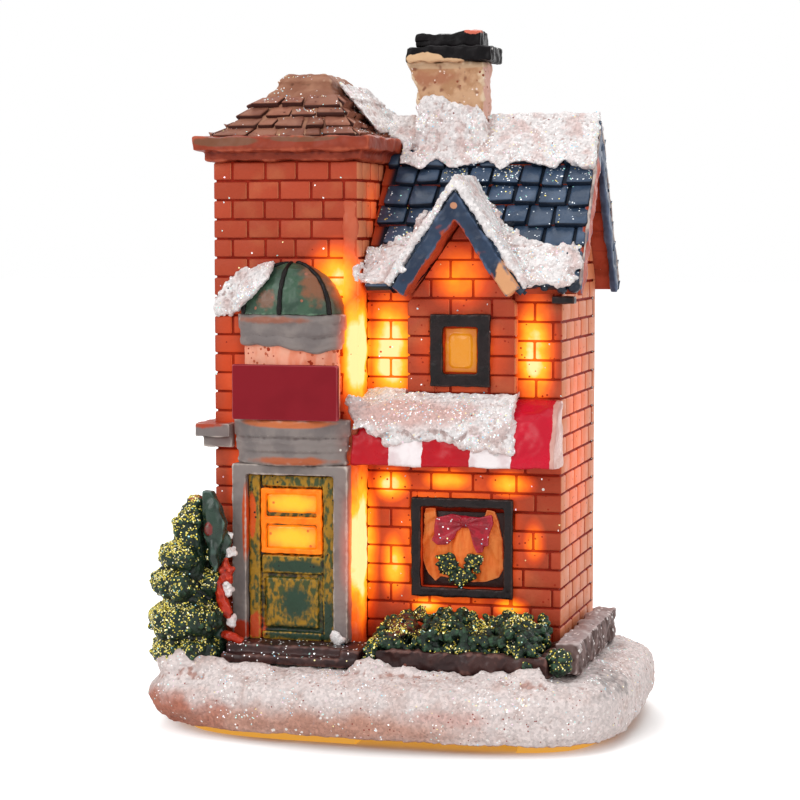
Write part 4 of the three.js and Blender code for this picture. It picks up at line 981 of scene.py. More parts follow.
class Finish(Enum):
    """Every finish on the house."""

    # Terracotta paint: flat orange red that the lamp turns orange and yellow. Its sides that look right are
    # painted paler, painted light from the right
    BRICK = Resin(
        "terracotta_paint", "#b24830", "#bb5f40", 6.0, (0.5, 0.75), tone=0.12, joint="#94200f",
        facings=(Facing("#dd8860", (1, 0, 0), 0.7),), glow=1.0, warm=0.1,
        specks=(WHITE_DOT, RED_DOT, Speck("#a02a14", 0.9, 0.16, 0.3, 3.0)),
        roughness=0.5, grain=0.6, grain_depth=0.07,
    )
    # The same paint where it runs on without joints
    SMOOTH_BRICK = Resin(
        "smooth_terracotta_paint", "#c9664a", "#c24f34", 4.0, (0.42, 0.66), glow=1.0, warm=0.12,
        specks=(Speck("#a03018", 1.6, 0.24, 0.34, 4.0), WHITE_DOT), roughness=0.42, grain=1.2,
    )
    # Carved joints: the paint left thick and dark, with less light through it
    JOINT = Resin("joint_paint", "#96200f", "#7c170b", 2.5, glow=0.6, warm=0.12, roughness=0.7)
    # Slate paint on carved slates: blue grey with a dull shine, dark in the gaps
    SLATE = Resin(
        "slate_paint", "#42546c", "#2f4158", 3.5, tone=0.22, joint="#0e1a2a",
        specks=(Speck("#c9d2da", 1.9, 0.13, 0.3), Speck("#7a4a34", 2.4, 0.3, 0.16, 6.0)),
        roughness=0.34, specular=0.3, grain=0.7, grain_depth=0.08,
    )
    # Brick paint under the eaves, dark blue where the slates lie on it
    UNDERLAY = Resin(
        "roof_underside_paint", "#b04a32", "#96381f", 4.0, facings=(Facing("#101a28", (0, 0, 1), -0.1),),
        patches=(Patch("#b84a2a", (-5.2, 5.0, 76.0), (1.9, 40.0, 40.0), 0.3, 0.3),),
        roughness=0.6, glow=0.5,
    )
    # Dark blue board paint, worn to bare resin in two spots, red underneath
    BOARD = Resin(
        "board_paint", "#2c3d55", "#223046", 4.0, edge="#4b5d78", roughness=0.36, specular=0.25,
        facings=(Facing("#b14a2e", (0, 0, -1), 0.25),), glow=0.35,
        patches=(
            Patch("#dfa273", (18.6, -13.0, 66.6), (2.8, 3.0, 3.6), 0.3, 0.06),
            Patch("#c98d6c", (9.9, -14.2, 77.2), (0.55, 0.8, 0.5), 0.1),
        ),
    )
    # The same board paint, paler, and red inside the gable
    GABLE = Resin(
        "gable_board_paint", "#46536b", "#37445a", 4.0, edge="#5d6b84", roughness=0.4,
        patches=(Patch("#b2492f", (27.9, -4.3, 76.0), (4.0, 8.2, 18.0), 0.12, 0.06),),
        specks=(Speck("#e6dcd2", 3.0, 0.16, 0.2),), glow=0.3,
    )
    # Bare pale resin where the board's edge is rubbed
    VERGE = Resin("bare_edge_paint", "#c9b9b0", "#8f7f7c", 1.5, roughness=0.6)
    # Brown tile paint: matt, each tile a little different, dark between them
    TILE = Resin(
        "tile_paint", "#9c6752", "#835040", 3.0, tone=0.18, joint="#40201a",
        specks=(Speck("#e8dcd0", 1.8, 0.13, 0.3), Speck("#5c2a1e", 1.3, 0.2, 0.3)), roughness=0.55,
    )
    # The same paint on the cap, paler on its ridges, partly worn and partly a painted highlight, and darker
    # in its hollows as painted shade
    TILE_BODY = Resin(
        "tile_body_paint", "#a4745c", "#8d5c47", 4.0, edge="#c49a80", wash_and_shade="#54301f", roughness=0.6,
        specks=(Speck("#e8dcd0", 2.6, 0.13, 0.3),), grain=0.35, grain_depth=0.05,
    )
    # Dark red paint with a dull shine, brown where it was dabbed
    CORNICE = Resin(
        "cornice_paint", "#963f2b", "#823221", 5.0, edge="#b4583e", wash_and_shade="#641c0e", roughness=0.4,
        patches=(
            Patch("#7c4f3a", (-24.5, -15.6, 86.7), (5.2, 2.0, 0.75), 0.25, 0.12),
            Patch("#7c4f3a", (-12.5, -15.6, 87.1), (5.6, 2.0, 0.6), 0.25, 0.12),
        ),
        specks=(Speck("#e8dcd0", 3.4, 0.2, 0.3),), grain=0.8, glow=0.5, warm=0.06,
    )
    # Pale stucco paint: cream with pink streaks, lit from behind
    STUCCO = Resin(
        "pale_stucco", "#e8bda4", "#dc9a7e", 2.4, roughness=0.65, glow=1.0, warm=0.24,
        stretch=(1.6, 1.0, 0.4), wash_and_shade="#c06a4c",
        specks=(Speck("#a8371f", 0.85, 0.3, 0.5, 3.0), Speck("#c9684a", 0.7, 0.24, 0.4),
                Speck("#f3e6dc", 1.5, 0.18, 0.3)),
    )
    # Tan stucco paint, rough and speckled. Its side that looks right is painted paler and pinker, painted
    # light from the right
    CHIMNEY = Resin(
        "chimney_stucco", "#cfa582", "#b88a66", 2.2, roughness=0.65, wash_and_shade="#8a5a44", edge="#e2c7a8",
        facings=(Facing("#d9a898", (1, 0, 0), 0.6),),
        patches=(Patch("#b0775a", (2.0, 1.9, 96.5), (4.5, 3.0, 1.0), 1.0, 0.5),
                 Patch("#c9a888", (5.0, 1.9, 98.4), (7.0, 3.0, 0.5), 0.3, 0.2)),
        specks=(Speck("#8f4a33", 0.7, 0.2, 0.4, 3.2), Speck("#f0dcd0", 0.62, 0.17, 0.4, 2.6),
                Speck("#3b2420", 2.2, 0.2, 0.16)),
    )
    # Grey stone paint with a dull shine, orange and red in patches, pale on its ridges as a painted highlight
    STONE = Resin(
        "grey_stone_paint", "#8c827e", "#7c7371", 3.5, edge="#cfc2b8", wash_and_shade="#5d5250",
        patches=(
            Patch("#9c6654", (-17.0, -17.0, 60.6), (5.0, 3.0, 0.5), 0.8, 0.4),
            Patch("#b0603f", (-13.0, -17.6, 39.9), (7.2, 3.0, 0.6), 0.6, 0.35),
            # The wide orange patch along the lower cornice's top is the lamp's light painted on
            Patch("#cd7448", (-14.0, -17.4, 45.6), (9.5, 3.0, 0.8), 0.3, 0.2),
            Patch("#cf5322", (-21.5, -15.3, 30.5), (0.4, 2.0, 5.5), 0.3, 0.2),
            Patch("#b8381c", (-22.3, -15.3, 14.2), (1.5, 2.0, 1.7), 0.4, 0.2),
            Patch("#b04a34", (-28.0, -12.0, 45.2), (3.5, 8.0, 0.9), 0.4, 0.2),
        ),
        specks=(Speck("#7c3322", 2.2, 0.2, 0.3, 4.0), Speck("#e9e2da", 3.0, 0.18, 0.3)),
        roughness=0.45, glow=0.6,
    )
    # Dark brown stone paint: a little glossy, paler on its edges, partly wear and partly a painted highlight
    DARK_STONE = Resin(
        "dark_stone_paint", "#422825", "#2e1b1b", 3.0, edge="#6b4841", roughness=0.36, specular=0.25,
        specks=(Speck("#cfc9c4", 1.6, 0.15, 0.3), Speck("#7a4538", 2.0, 0.25, 0.2)),
    )
    # The same stone dusted with frost, dark in its hollows as painted shade
    KERB = Resin(
        "frosted_kerb_paint", "#7e6763", "#54403c", 2.4, (0.4, 0.6), edge="#c3b3b0", roughness=0.6,
        facings=(Facing("#a89694", (0, 0, 1), 0.6),), stretch=(1.0, 1.6, 0.35), wash_and_shade="#2a1a1a",
        specks=(Speck("#ded6d4", 0.8, 0.26, 0.5, 2.5), Speck("#f4f0ee", 1.2, 0.2, 0.3)),
    )
    # Verdigris paint: dull green with brown rubbed patches
    COPPER = Resin(
        "verdigris_paint", "#405c48", "#2f4638", 3.0, edge="#6f8c74", wash_and_shade="#18251f",
        patches=(Patch("#85583f", (-10.4, -15.4, 66.2), (2.0, 3.0, 3.0), 0.7, 0.35),
                 Patch("#7a5a48", (-17.5, -16.0, 63.5), (1.5, 3.0, 1.4), 0.7, 0.3)),
        specks=(Speck("#dfe6df", 2.2, 0.15, 0.3), Speck("#a0614a", 1.4, 0.25, 0.3, 3.0)),
        roughness=0.32, specular=0.3, glow=0.5,
    )
    # Black paint on the dome's ribs, chipped red in spots
    RIB = Resin(
        "rib_paint", "#191413", "#100c0c", 1.5, roughness=0.35,
        specks=(Speck("#c0391c", 1.6, 0.26, 0.3),),
    )
    # Antiqued paint: green brushed over gold, so that gold shows in streaks
    DOOR = Resin(
        "antiqued_door_paint", "#a67c1e", "#384a26", 0.9, (0.43, 0.58), wash_and_shade="#0b100c", edge="#bd9232",
        stretch=(1.2, 1.0, 0.6), roughness=0.36, specular=0.25, glow=0.4, warm=0.08,
        patches=(
            Patch("#223d2c", (-14.0, -14.3, 24.0), (4.6, 2.0, 1.0), 0.4, 0.25),
            Patch("#23402f", (-14.0, -14.3, 18.6), (2.3, 2.0, 2.4), 0.6, 0.35),
            Patch("#1e3a29", (-13.2, -14.3, 14.2), (6.8, 2.0, 1.1), 0.5, 0.3),
            Patch("#233c2c", (-9.0, -14.3, 16.5), (1.0, 2.0, 2.6), 0.5, 0.3),
            Patch("#da5a1c", (-20.7, -14.3, 31.5), (0.6, 2.0, 3.4), 0.3, 0.15),
            Patch("#d2532a", (-20.2, -14.3, 14.4), (1.4, 2.0, 2.6), 0.4, 0.15),
        ),
        specks=(Speck("#10160f", 0.7, 0.16, 0.28), Speck("#e4ddd2", 2.2, 0.17, 0.25)),
    )
    # Gold paint on the bars between the lit panes, the bars themselves painted glowing with the lamp's light
    GLAZING = Resin(
        "lit_bar_paint", "#d08a1e", "#b0661a", 1.5, wash_and_shade="#2a1608", edge="#eab040", roughness=0.36,
        glow=0.5, warm=0.9,
    )
    # Crimson enamel: even and smooth
    SIGN = Resin(
        "sign_enamel", "#871a25", "#821823", 6.0, edge="#b8545a", roughness=0.4, specular=0.1,
        grain=1.2, grain_depth=0.02,
    )
    # Gloss paint in red and white stripes with uneven edges
    AWNING = Resin(
        "striped_gloss_paint", "#c0102a", "#9d0d22", 3.0, stripes=(
            (-6.0, "#c00c20"), (0.2, "#fbf2f3"), (5.15, "#be0c20"), (12.3, "#fbf3f4"),
            (18.3, "#d01030"), (24.1, "#dfb0a4")),
        stripe_span=(-6.0, 26.0), wash_and_shade="#5c0a14", roughness=0.3, specular=0.22, grain=2.5, grain_depth=0.03,
        specks=(Speck("#d8c878", 3.4, 0.2, 0.25, 5.0),), glow=0.3, warm=0.1,
    )
    # Black gloss paint, brown on its edges: rubbed paint together with a painted highlight
    BLACK = Resin(
        "black_gloss_paint", "#1d1213", "#120b0c", 2.5, edge="#3a2522", roughness=0.32, specular=0.2,
        specks=(Speck("#8a2f22", 2.8, 0.25, 0.22), Speck("#d8d2cc", 2.6, 0.15, 0.25)),
    )
    # Soot black paint, worn to tan and red in places
    CHIMNEY_CAP = Resin(
        "chimney_cap_paint", "#151113", "#0d0a0c", 2.0, roughness=0.42, specular=0.1,
        patches=(
            Patch("#e0b890", (1.7, 0.9, 99.3), (3.0, 2.0, 1.0), 0.3, 0.05),
            Patch("#d8b08a", (5.2, 0.9, 99.0), (2.6, 2.0, 0.45), 0.3, 0.05),
            Patch("#d9725c", (8.8, 2.6, 103.5), (1.3, 3.0, 0.5), 0.4, 0.1),
        ),
        specks=(Speck("#dcd6d2", 1.6, 0.17, 0.25),),
    )
    # Ochre paint with dark folds, lit from behind: the folds' hollows darkened as painted shade and their
    # ridges paler as a painted highlight
    CURTAIN = Resin(
        "ochre_paint", "#d98c48", "#bd6a2c", 1.6, stretch=(1.6, 1.0, 0.3), wash_and_shade="#84380e",
        edge="#eab070", roughness=0.45, glow=0.5, warm=0.5,
        specks=(Speck("#a8401c", 2.6, 0.3, 0.22),),
    )
    # Crimson gloss paint, dark between the pleats as painted shade, paler on their ridges as a painted
    # highlight
    RIBBON = Resin(
        "crimson_gloss_paint", "#ad1a2e", "#8f1424", 1.4, wash_and_shade="#560a16", edge="#c23a4c",
        roughness=0.28, specular=0.3, specks=(Speck("#f0e6e6", 1.9, 0.16, 0.25),),
    )
    # Vermilion gloss paint, paler on the petals' ridges as a painted highlight, dark in their hollows as
    # painted shade
    POINSETTIA = Resin(
        "vermilion_gloss_paint", "#bf2f16", "#9a2412", 1.4, wash_and_shade="#4e100a", edge="#dc5334",
        roughness=0.3, specular=0.3, specks=(Speck("#e8c84a", 2.0, 0.2, 0.2),),
    )
    # Dark green paint: nearly black in hollows as painted shade, paler on ridges as a painted highlight, with
    # yellow dust
    FOLIAGE = Resin(
        "dark_green_paint", "#1c3022", "#101d16", 1.2, edge="#34523a", wash_and_shade="#070e0a",
        roughness=0.36, specular=0.25, grain=0.35, grain_depth=0.14,
        specks=(Speck("#a9a248", 0.62, 0.13, 0.4),),
        patches=(Patch("#a2544a", (-28.0, -18.8, 34.9), (1.5, 2.2, 1.0), 0.3, 0.15),
                 Patch("#6a3020", (3.4, -17.0, 16.4), (2.4, 9.0, 1.2), 0.9, 0.4)),
    )
    # Glossier green with a painted grey sheen on its ridges and painted shade in its hollows
    LEAF = Resin(
        "leaf_gloss_paint", "#20382b", "#13251c", 2.0, edge="#4f6b60", wash_and_shade="#0a1410",
        roughness=0.28, specular=0.4, grain=0.8,
        patches=(Patch("#7d2420", (-25.5, -20.2, 30.0), (0.7, 2.0, 1.0), 0.3, 0.15),),
    )
    # White paint thick with grit: rough, with tiny shadows between grains drawn about 0.35 mm wide, and
    # pinkish grey in its hollows as painted shade
    SNOW = Resin(
        "snow_paint", "#f5efee", "#e4cdc9", 2.6, (0.47, 0.66), wash_and_shade="#cfb9b5", roughness=0.7,
        grain=0.4, grain_depth=0.2, grit=0.34,
        specks=(Speck("#7a332b", 1.5, 0.14, 0.25, 3.5), Speck("#31404c", 1.9, 0.15, 0.25, 4.0),
                Speck("#bfe0dc", 1.1, 0.15, 0.25)),
        patches=(Patch("#e2bdb6", (3.0, -13.0, 47.2), (8.5, 3.0, 2.4), 0.8, 0.5),),
    )
    # The same snow paint, thinner, so that the pink resin shows through
    GROUND = Resin(
        "snowy_ground_paint", "#ebdedb", "#dcc6c0", 3.5, (0.48, 0.7), wash_and_shade="#c09a90",
        roughness=0.75, grain=0.45, grain_depth=0.22, grit=0.36,
        facings=(Facing("#c99484", (0, 0, -1), 0.8),),
        patches=(
            Patch("#bd7a66", (-30.0, -22.5, 3.0), (12.0, 9.0, 3.6), 0.8, 0.5),
            Patch("#c99886", (-6.0, -27.0, 3.0), (18.0, 6.0, 2.4), 0.9, 0.6),
            Patch("#a8a09e", (31.5, -12.0, 8.4), (3.5, 6.0, 1.6), 1.0, 0.5),
            Patch("#dcb8b0", (12.0, -26.0, 5.4), (5.0, 5.0, 1.0), 0.9, 0.6),
        ),
        specks=(Speck("#8f3d32", 0.6, 0.12, 0.35, 4.0), Speck("#3a3436", 1.2, 0.13, 0.28, 5.0),
                Speck("#f6f0ec", 0.8, 0.22, 0.4, 3.0), Speck("#cfe4e0", 1.2, 0.14, 0.3)),
    )
    # Cut foil flakes about 0.25 mm wide: small mirrors, white with hints of other colours
    SILVER_GLITTER = Flake("iridescent_glitter", (
        (0.0, "#ffffff"), (0.45, "#dfeef4"), (0.62, "#bfe9e2"), (0.74, "#f3d3e4"), (0.84, "#f2e3a6"),
        (0.92, "#9fd0e8")))
    # The same foil in gold
    GOLD_GLITTER = Flake("gold_glitter", (
        (0.0, "#d6c455"), (0.4, "#b9a83e"), (0.65, "#efe39a"), (0.9, "#f6f2d8"), (0.97, "#a8dfe6")))
    # The same foil, mixed
    ROOF_GLITTER = Flake("mixed_glitter", (
        (0.0, "#eef2f4"), (0.5, "#c3ced8"), (0.72, "#e6cf6e"), (0.9, "#8fd0c4")), 0.15)
    # Amber resin cast in the window: clear, glossy and lit from behind
    UPPER_WINDOW = AmberResin(
        "amber_window_resin", (10.3, -10.2, 56.2), (3.2, 1.0, 4.2), "#e8921c", "#b0401a", 0.72)
    DOOR_UPPER = AmberResin(
        "amber_upper_light", (-14.5, -14.6, 33.4), (4.0, 1.0, 1.5), "#ffb81e", "#e2600c", 1.0)
    DOOR_LOWER = AmberResin(
        "amber_lower_light", (-14.5, -14.6, 28.3), (4.0, 1.0, 1.8), "#ffb81e", "#e2600c", 1.0)
    # Moulded polypropylene, frosted: milky, lit amber by the lamp
    FROSTED = Moulded(
        "frosted_polypropylene", "#7a5c30", "#6c5028", 0.5, texture=1.2, lit="#dc9c38", strength=0.9)
    # Moulded ABS: black with a fine texture
    BLACK_PLASTIC = Moulded("black_abs", "#1b1b1d", "#232327", 0.5)
    # Nickel plate: bright grey metal
    NICKEL = Moulded("nickel_plate", "#b9bdc1", "#a4a8ac", 0.28, metallic=1.0, texture=1.5)
    # Cast epoxy lens: clear and glowing
    LENS = Moulded("clear_epoxy_lens", "#ffe4a8", "#ffd890", 0.15, lit="#ffc46a", strength=2.0)
    # Extruded PVC sleeves: smooth with a slight shine
    RED_WIRE = Moulded("red_pvc", "#a31a1a", "#961616", 0.4)
    BLACK_WIRE = Moulded("black_pvc", "#161616", "#1e1e1e", 0.4)

    def paint(self) -> bpy.types.Material:
        """Gives the finish's material, made when it is first asked for."""
        return bpy.data.materials.get(self.value.name) or self.value.build()


def sprinkle(
    name: str,
    surfaces: Sequence[bpy.types.Object],
    count: int,
    size: float,
    finish: Finish,
    towards: Vector,
    least: float,
    seed: int,
    density: Callable[[Vector], float] | None = None,
) -> bpy.types.Object:
    """Scatters glitter flakes over some pieces.

    Args:
        name: The new piece's name.
        surfaces: The pieces that the flakes lie on.
        count: How many flakes.
        size: A flake's radius.
        finish: The flakes' finish.
        towards: The way that a face has to look to hold flakes.
        least: How directly it has to look there.
        seed: Seed of the scatter.
        density: How thickly a place is covered, from 0 to 1, or None for evenly.

    Returns:
        The new object.
    """
    rng = random.Random(seed)
    triangles, weights = [], []
    for surface in surfaces:
        mesh = surface.data
        mesh.calc_loop_triangles()
        for triangle in mesh.loop_triangles:
            look = triangle.normal.dot(towards)
            if look > least:
                corners = [mesh.vertices[i].co / MM for i in triangle.vertices]
                weight = triangle.area * look
                if density:
                    weight *= density(corners[0])
                triangles.append((corners, triangle.normal.copy()))
                weights.append(weight)
    flake = bmesh.new()
    bmesh.ops.create_cone(flake, cap_ends=True, segments=6, radius1=1.0, radius2=0.8, depth=0.3)
    tones = flake.verts.layers.float.new("tone")
    form = Form()
    template = bpy.data.meshes.new("flake")
    for corners, normal in rng.choices(triangles, weights=weights, k=count):
        a, b = sorted((rng.random(), rng.random()))
        place = corners[0] * a + corners[1] * (b - a) + corners[2] * (1 - b)
        tilt = Vector(rng.gauss(0, 0.35) for _ in range(3))
        turn = (normal + tilt).to_track_quat("Z", "Y").to_matrix().to_4x4()
        grown = size * rng.uniform(0.7, 1.25)
        tone = rng.random()
        for vert in flake.verts:
            vert[tones] = tone
        flake.to_mesh(template)
        template.transform(Matrix.Translation(place) @ turn @ Matrix.Scale(grown, 4))
        form.bm.from_mesh(template)
    flake.free()
    bpy.data.meshes.remove(template)
    return finish_piece(name, form, finish, sharp=20)


def pared(rectangle: tuple[float, ...], hole: tuple[float, ...]) -> list[tuple[float, ...]]:
    """Takes a hole out of a rectangle.

    Args:
        rectangle: Its left, right, bottom and top.
        hole: The hole's left, right, bottom and top.

    Returns:
        The rectangles that are left, without slivers.
    """
    left, right, bottom, top = rectangle
    hole_left, hole_right, hole_bottom, hole_top = hole
    if right <= hole_left or left >= hole_right or top <= hole_bottom or bottom >= hole_top:
        return [rectangle]
    inner_left, inner_right = max(left, hole_left), min(right, hole_right)
    parts = [
        (left, hole_left, bottom, top), (hole_right, right, bottom, top),
        (inner_left, inner_right, bottom, hole_bottom), (inner_left, inner_right, hole_top, top),
    ]
    sliver = 0.6
    return [part for part in parts if part[1] - part[0] > sliver and part[3] - part[2] > sliver]


@dataclass(frozen=True)
class WallFace:
    """One face of brickwork.

    It starts at its lower left corner seen from outside. A hole is its left, right, bottom and top.
    """

    corner: Vector
    along: Vector
    length: float
    courses: int
    course: float
    brick: float = 4.8
    holes: tuple[tuple[float, float, float, float], ...] = ()


@dataclass
class Brickwork:
    """Lays bricks as separate blocks with joints between them, sunk behind the wall's faces.

    Bricks stop short of a wall's end by the tuck, so that no two faces coincide.
    """

    joint: float = 0.3
    depth: float = 1.2
    rounding: float = 0.2
    sink: float = 0.27
    tuck: float = 0.04
    shortest: float = 1.2
    wander: float = 0.04
    sunk: float = 0.07
    seed: int = 11

    def joints(self, name: str, node: str, left: float, front: float, right: float, back: float) -> None:
        """Makes a wall's joints: the CAD wall with its brick faces drawn in.

        Args:
            name: The piece's name.
            node: The CAD wall.
            left: 1 where that side has bricks, or else 0.
            front: The same for the front.
            right: The same for the right side.
            back: The same for the back.
        """
        low, high = node_box(node)
        core = Form.of_nodes(node).clamp(
            low + Vector((left, front, 0)) * self.sink, high - Vector((right, back, 0)) * self.sink
        )
        finish_piece(name, core, Finish.JOINT, [node], sharp=30)

    @staticmethod
    def opening(node: str, wall: Vector, cover: float) -> tuple[float, float, float, float]:
        """Finds the hole that a window needs in a wall.

        Args:
            node: The window's frame.
            wall: The wall's lower left corner.
            cover: How far the frame laps over the bricks.

        Returns:
            The hole's left, right, bottom and top on the wall.
        """
        low, high = node_box(node)
        return (
            low.x + cover - wall.x, high.x - cover - wall.x, low.z + cover - wall.z, high.z - cover - wall.z
        )

    def lay(self, form: Form, face: WallFace) -> None:
        """Lays one face's bricks in stretcher bond.

        Args:
            form: The form that they are added to.
            face: The face that they cover.
        """
        place = abs(face.corner.x + face.corner.y)
        rng = random.Random(self.seed + int(face.length * 10) + int(place * 10))
        pitch, inner, wander = face.course, self.joint * 0.6, self.wander
        for course in range(face.courses):
            ends = [0.0]
            reach = face.brick * (0.6 if course % 2 else 1.1)
            while reach < face.length - self.shortest:
                ends.append(reach)
                reach += face.brick * rng.uniform(0.92, 1.08)
            ends.append(face.length)
            for left, right in zip(ends, ends[1:]):
                low = course * pitch + self.joint / 2 + rng.uniform(-wander, wander)
                high = (course + 1) * pitch - self.joint / 2 + rng.uniform(-wander, wander)
                parts = [(
                    left + (inner if left > 0 else self.tuck),
                    right - (inner if right < face.length else self.tuck), low, high,
                )]
                for hole in face.holes:
                    parts = [piece for part in parts for piece in pared(part, hole)]
                for part in parts:
                    self._brick(form, face, part, rng)

    def _brick(self, form: Form, face: WallFace, part: tuple[float, ...], rng: random.Random) -> None:
        """Adds one brick, a little sunk unless it makes a corner of the wall.

        Args:
            form: The form that it is added to.
            face: The face that it lies on.
            part: Its left, right, bottom and top there.
            rng: Source of its unevenness.
        """
        outward = face.along.cross(UP)
        left, right, low, high = part
        corner = left < 0.1 or right > face.length - 0.1
        sunk = outward * (0.0 if corner else -rng.uniform(0.0, self.sunk))
        corners = [
            face.corner + face.along * u + UP * v + sunk
            for u, v in ((left, low), (right, low), (right, high), (left, high))
        ]
        form.block(corners, self.depth, self.rounding, rng.uniform(-1, 1))

    def mark(self, form: Form, low: Vector, high: Vector) -> None:
        """Notes which points lie on a wall's outer faces, so that the corners are painted as brick.

        Args:
            form: The bricks.
            low: The wall's lowest corner.
            high: Its highest corner.
        """
        layer = form.bm.verts.layers.float["front"]
        for vert in form.bm.verts:
            x, y, _ = vert.co
            depth = min(x - low.x, high.x - x, y - low.y, high.y - y)
            vert[layer] = max(0.0, min(1.0, 1 - (depth - self.sunk) / self.rounding))


@dataclass
class TowerBlock:
    """The tower's brick walls, the smooth strip at their right front corner and the cornice on top."""

    courses: int = 26
    strip_left: float = -7.0
    strip_top: float = 78.0
    work: Brickwork = field(default_factory=Brickwork)

    def build(self, roof: "MainRoof") -> None:
        """Lays the tower's walls and its cornice.

        Args:
            roof: The main roof, which covers some of its bricks.
        """
        self.work.joints("tower_joints", "tower_walls", 1, 1, 1, 1)
        low, high = node_box("tower_walls")
        form = Form()
        pitch = (high.z - low.z) / self.courses
        hidden = []
        for course in range(self.courses):
            half = roof.half_width_at(low.z + (course + 1) * pitch)
            near = max(roof.wall_front, roof.ridge_y - half)
            far = min(high.y + 1, roof.ridge_y + half)
            hidden.append((near - low.y, far - low.y, course * pitch, (course + 1) * pitch))
        width, depth = high.x - low.x, high.y - low.y
        for corner, along, length, holes in (
            ((low.x, low.y), RIGHT, width, ()), ((high.x, low.y), BACK, depth, tuple(hidden)),
            ((high.x, high.y), -RIGHT, width, ()), ((low.x, high.y), -BACK, depth, ()),
        ):
            face = WallFace(Vector((*corner, low.z)), along, length, self.courses, pitch, holes=holes)
            self.work.lay(form, face)
        self.work.mark(form, low, high)
        finish_piece("tower_bricks", form, Finish.BRICK, sharp=50)
        strip = Form()
        strip.box((self.strip_left, low.y - 0.12, low.z), (high.x, low.y + 1.0, self.strip_top), 0.4)
        strip.box((-5.6, low.y + 0.6, low.z), (high.x + 0.12, -8.0, 66.0), 0.4)
        strip.cast(0.22, 3, (2.6, 0.32), (0.8, 0.12))
        finish_piece("tower_corner_strip", strip, Finish.SMOOTH_BRICK)
        cast_nodes("tower_cornice_cast", ["tower_cornice"], Finish.CORNICE, "cornice", 0.28, 4, (3.0, 0.4),
                   (0.8, 0.08))


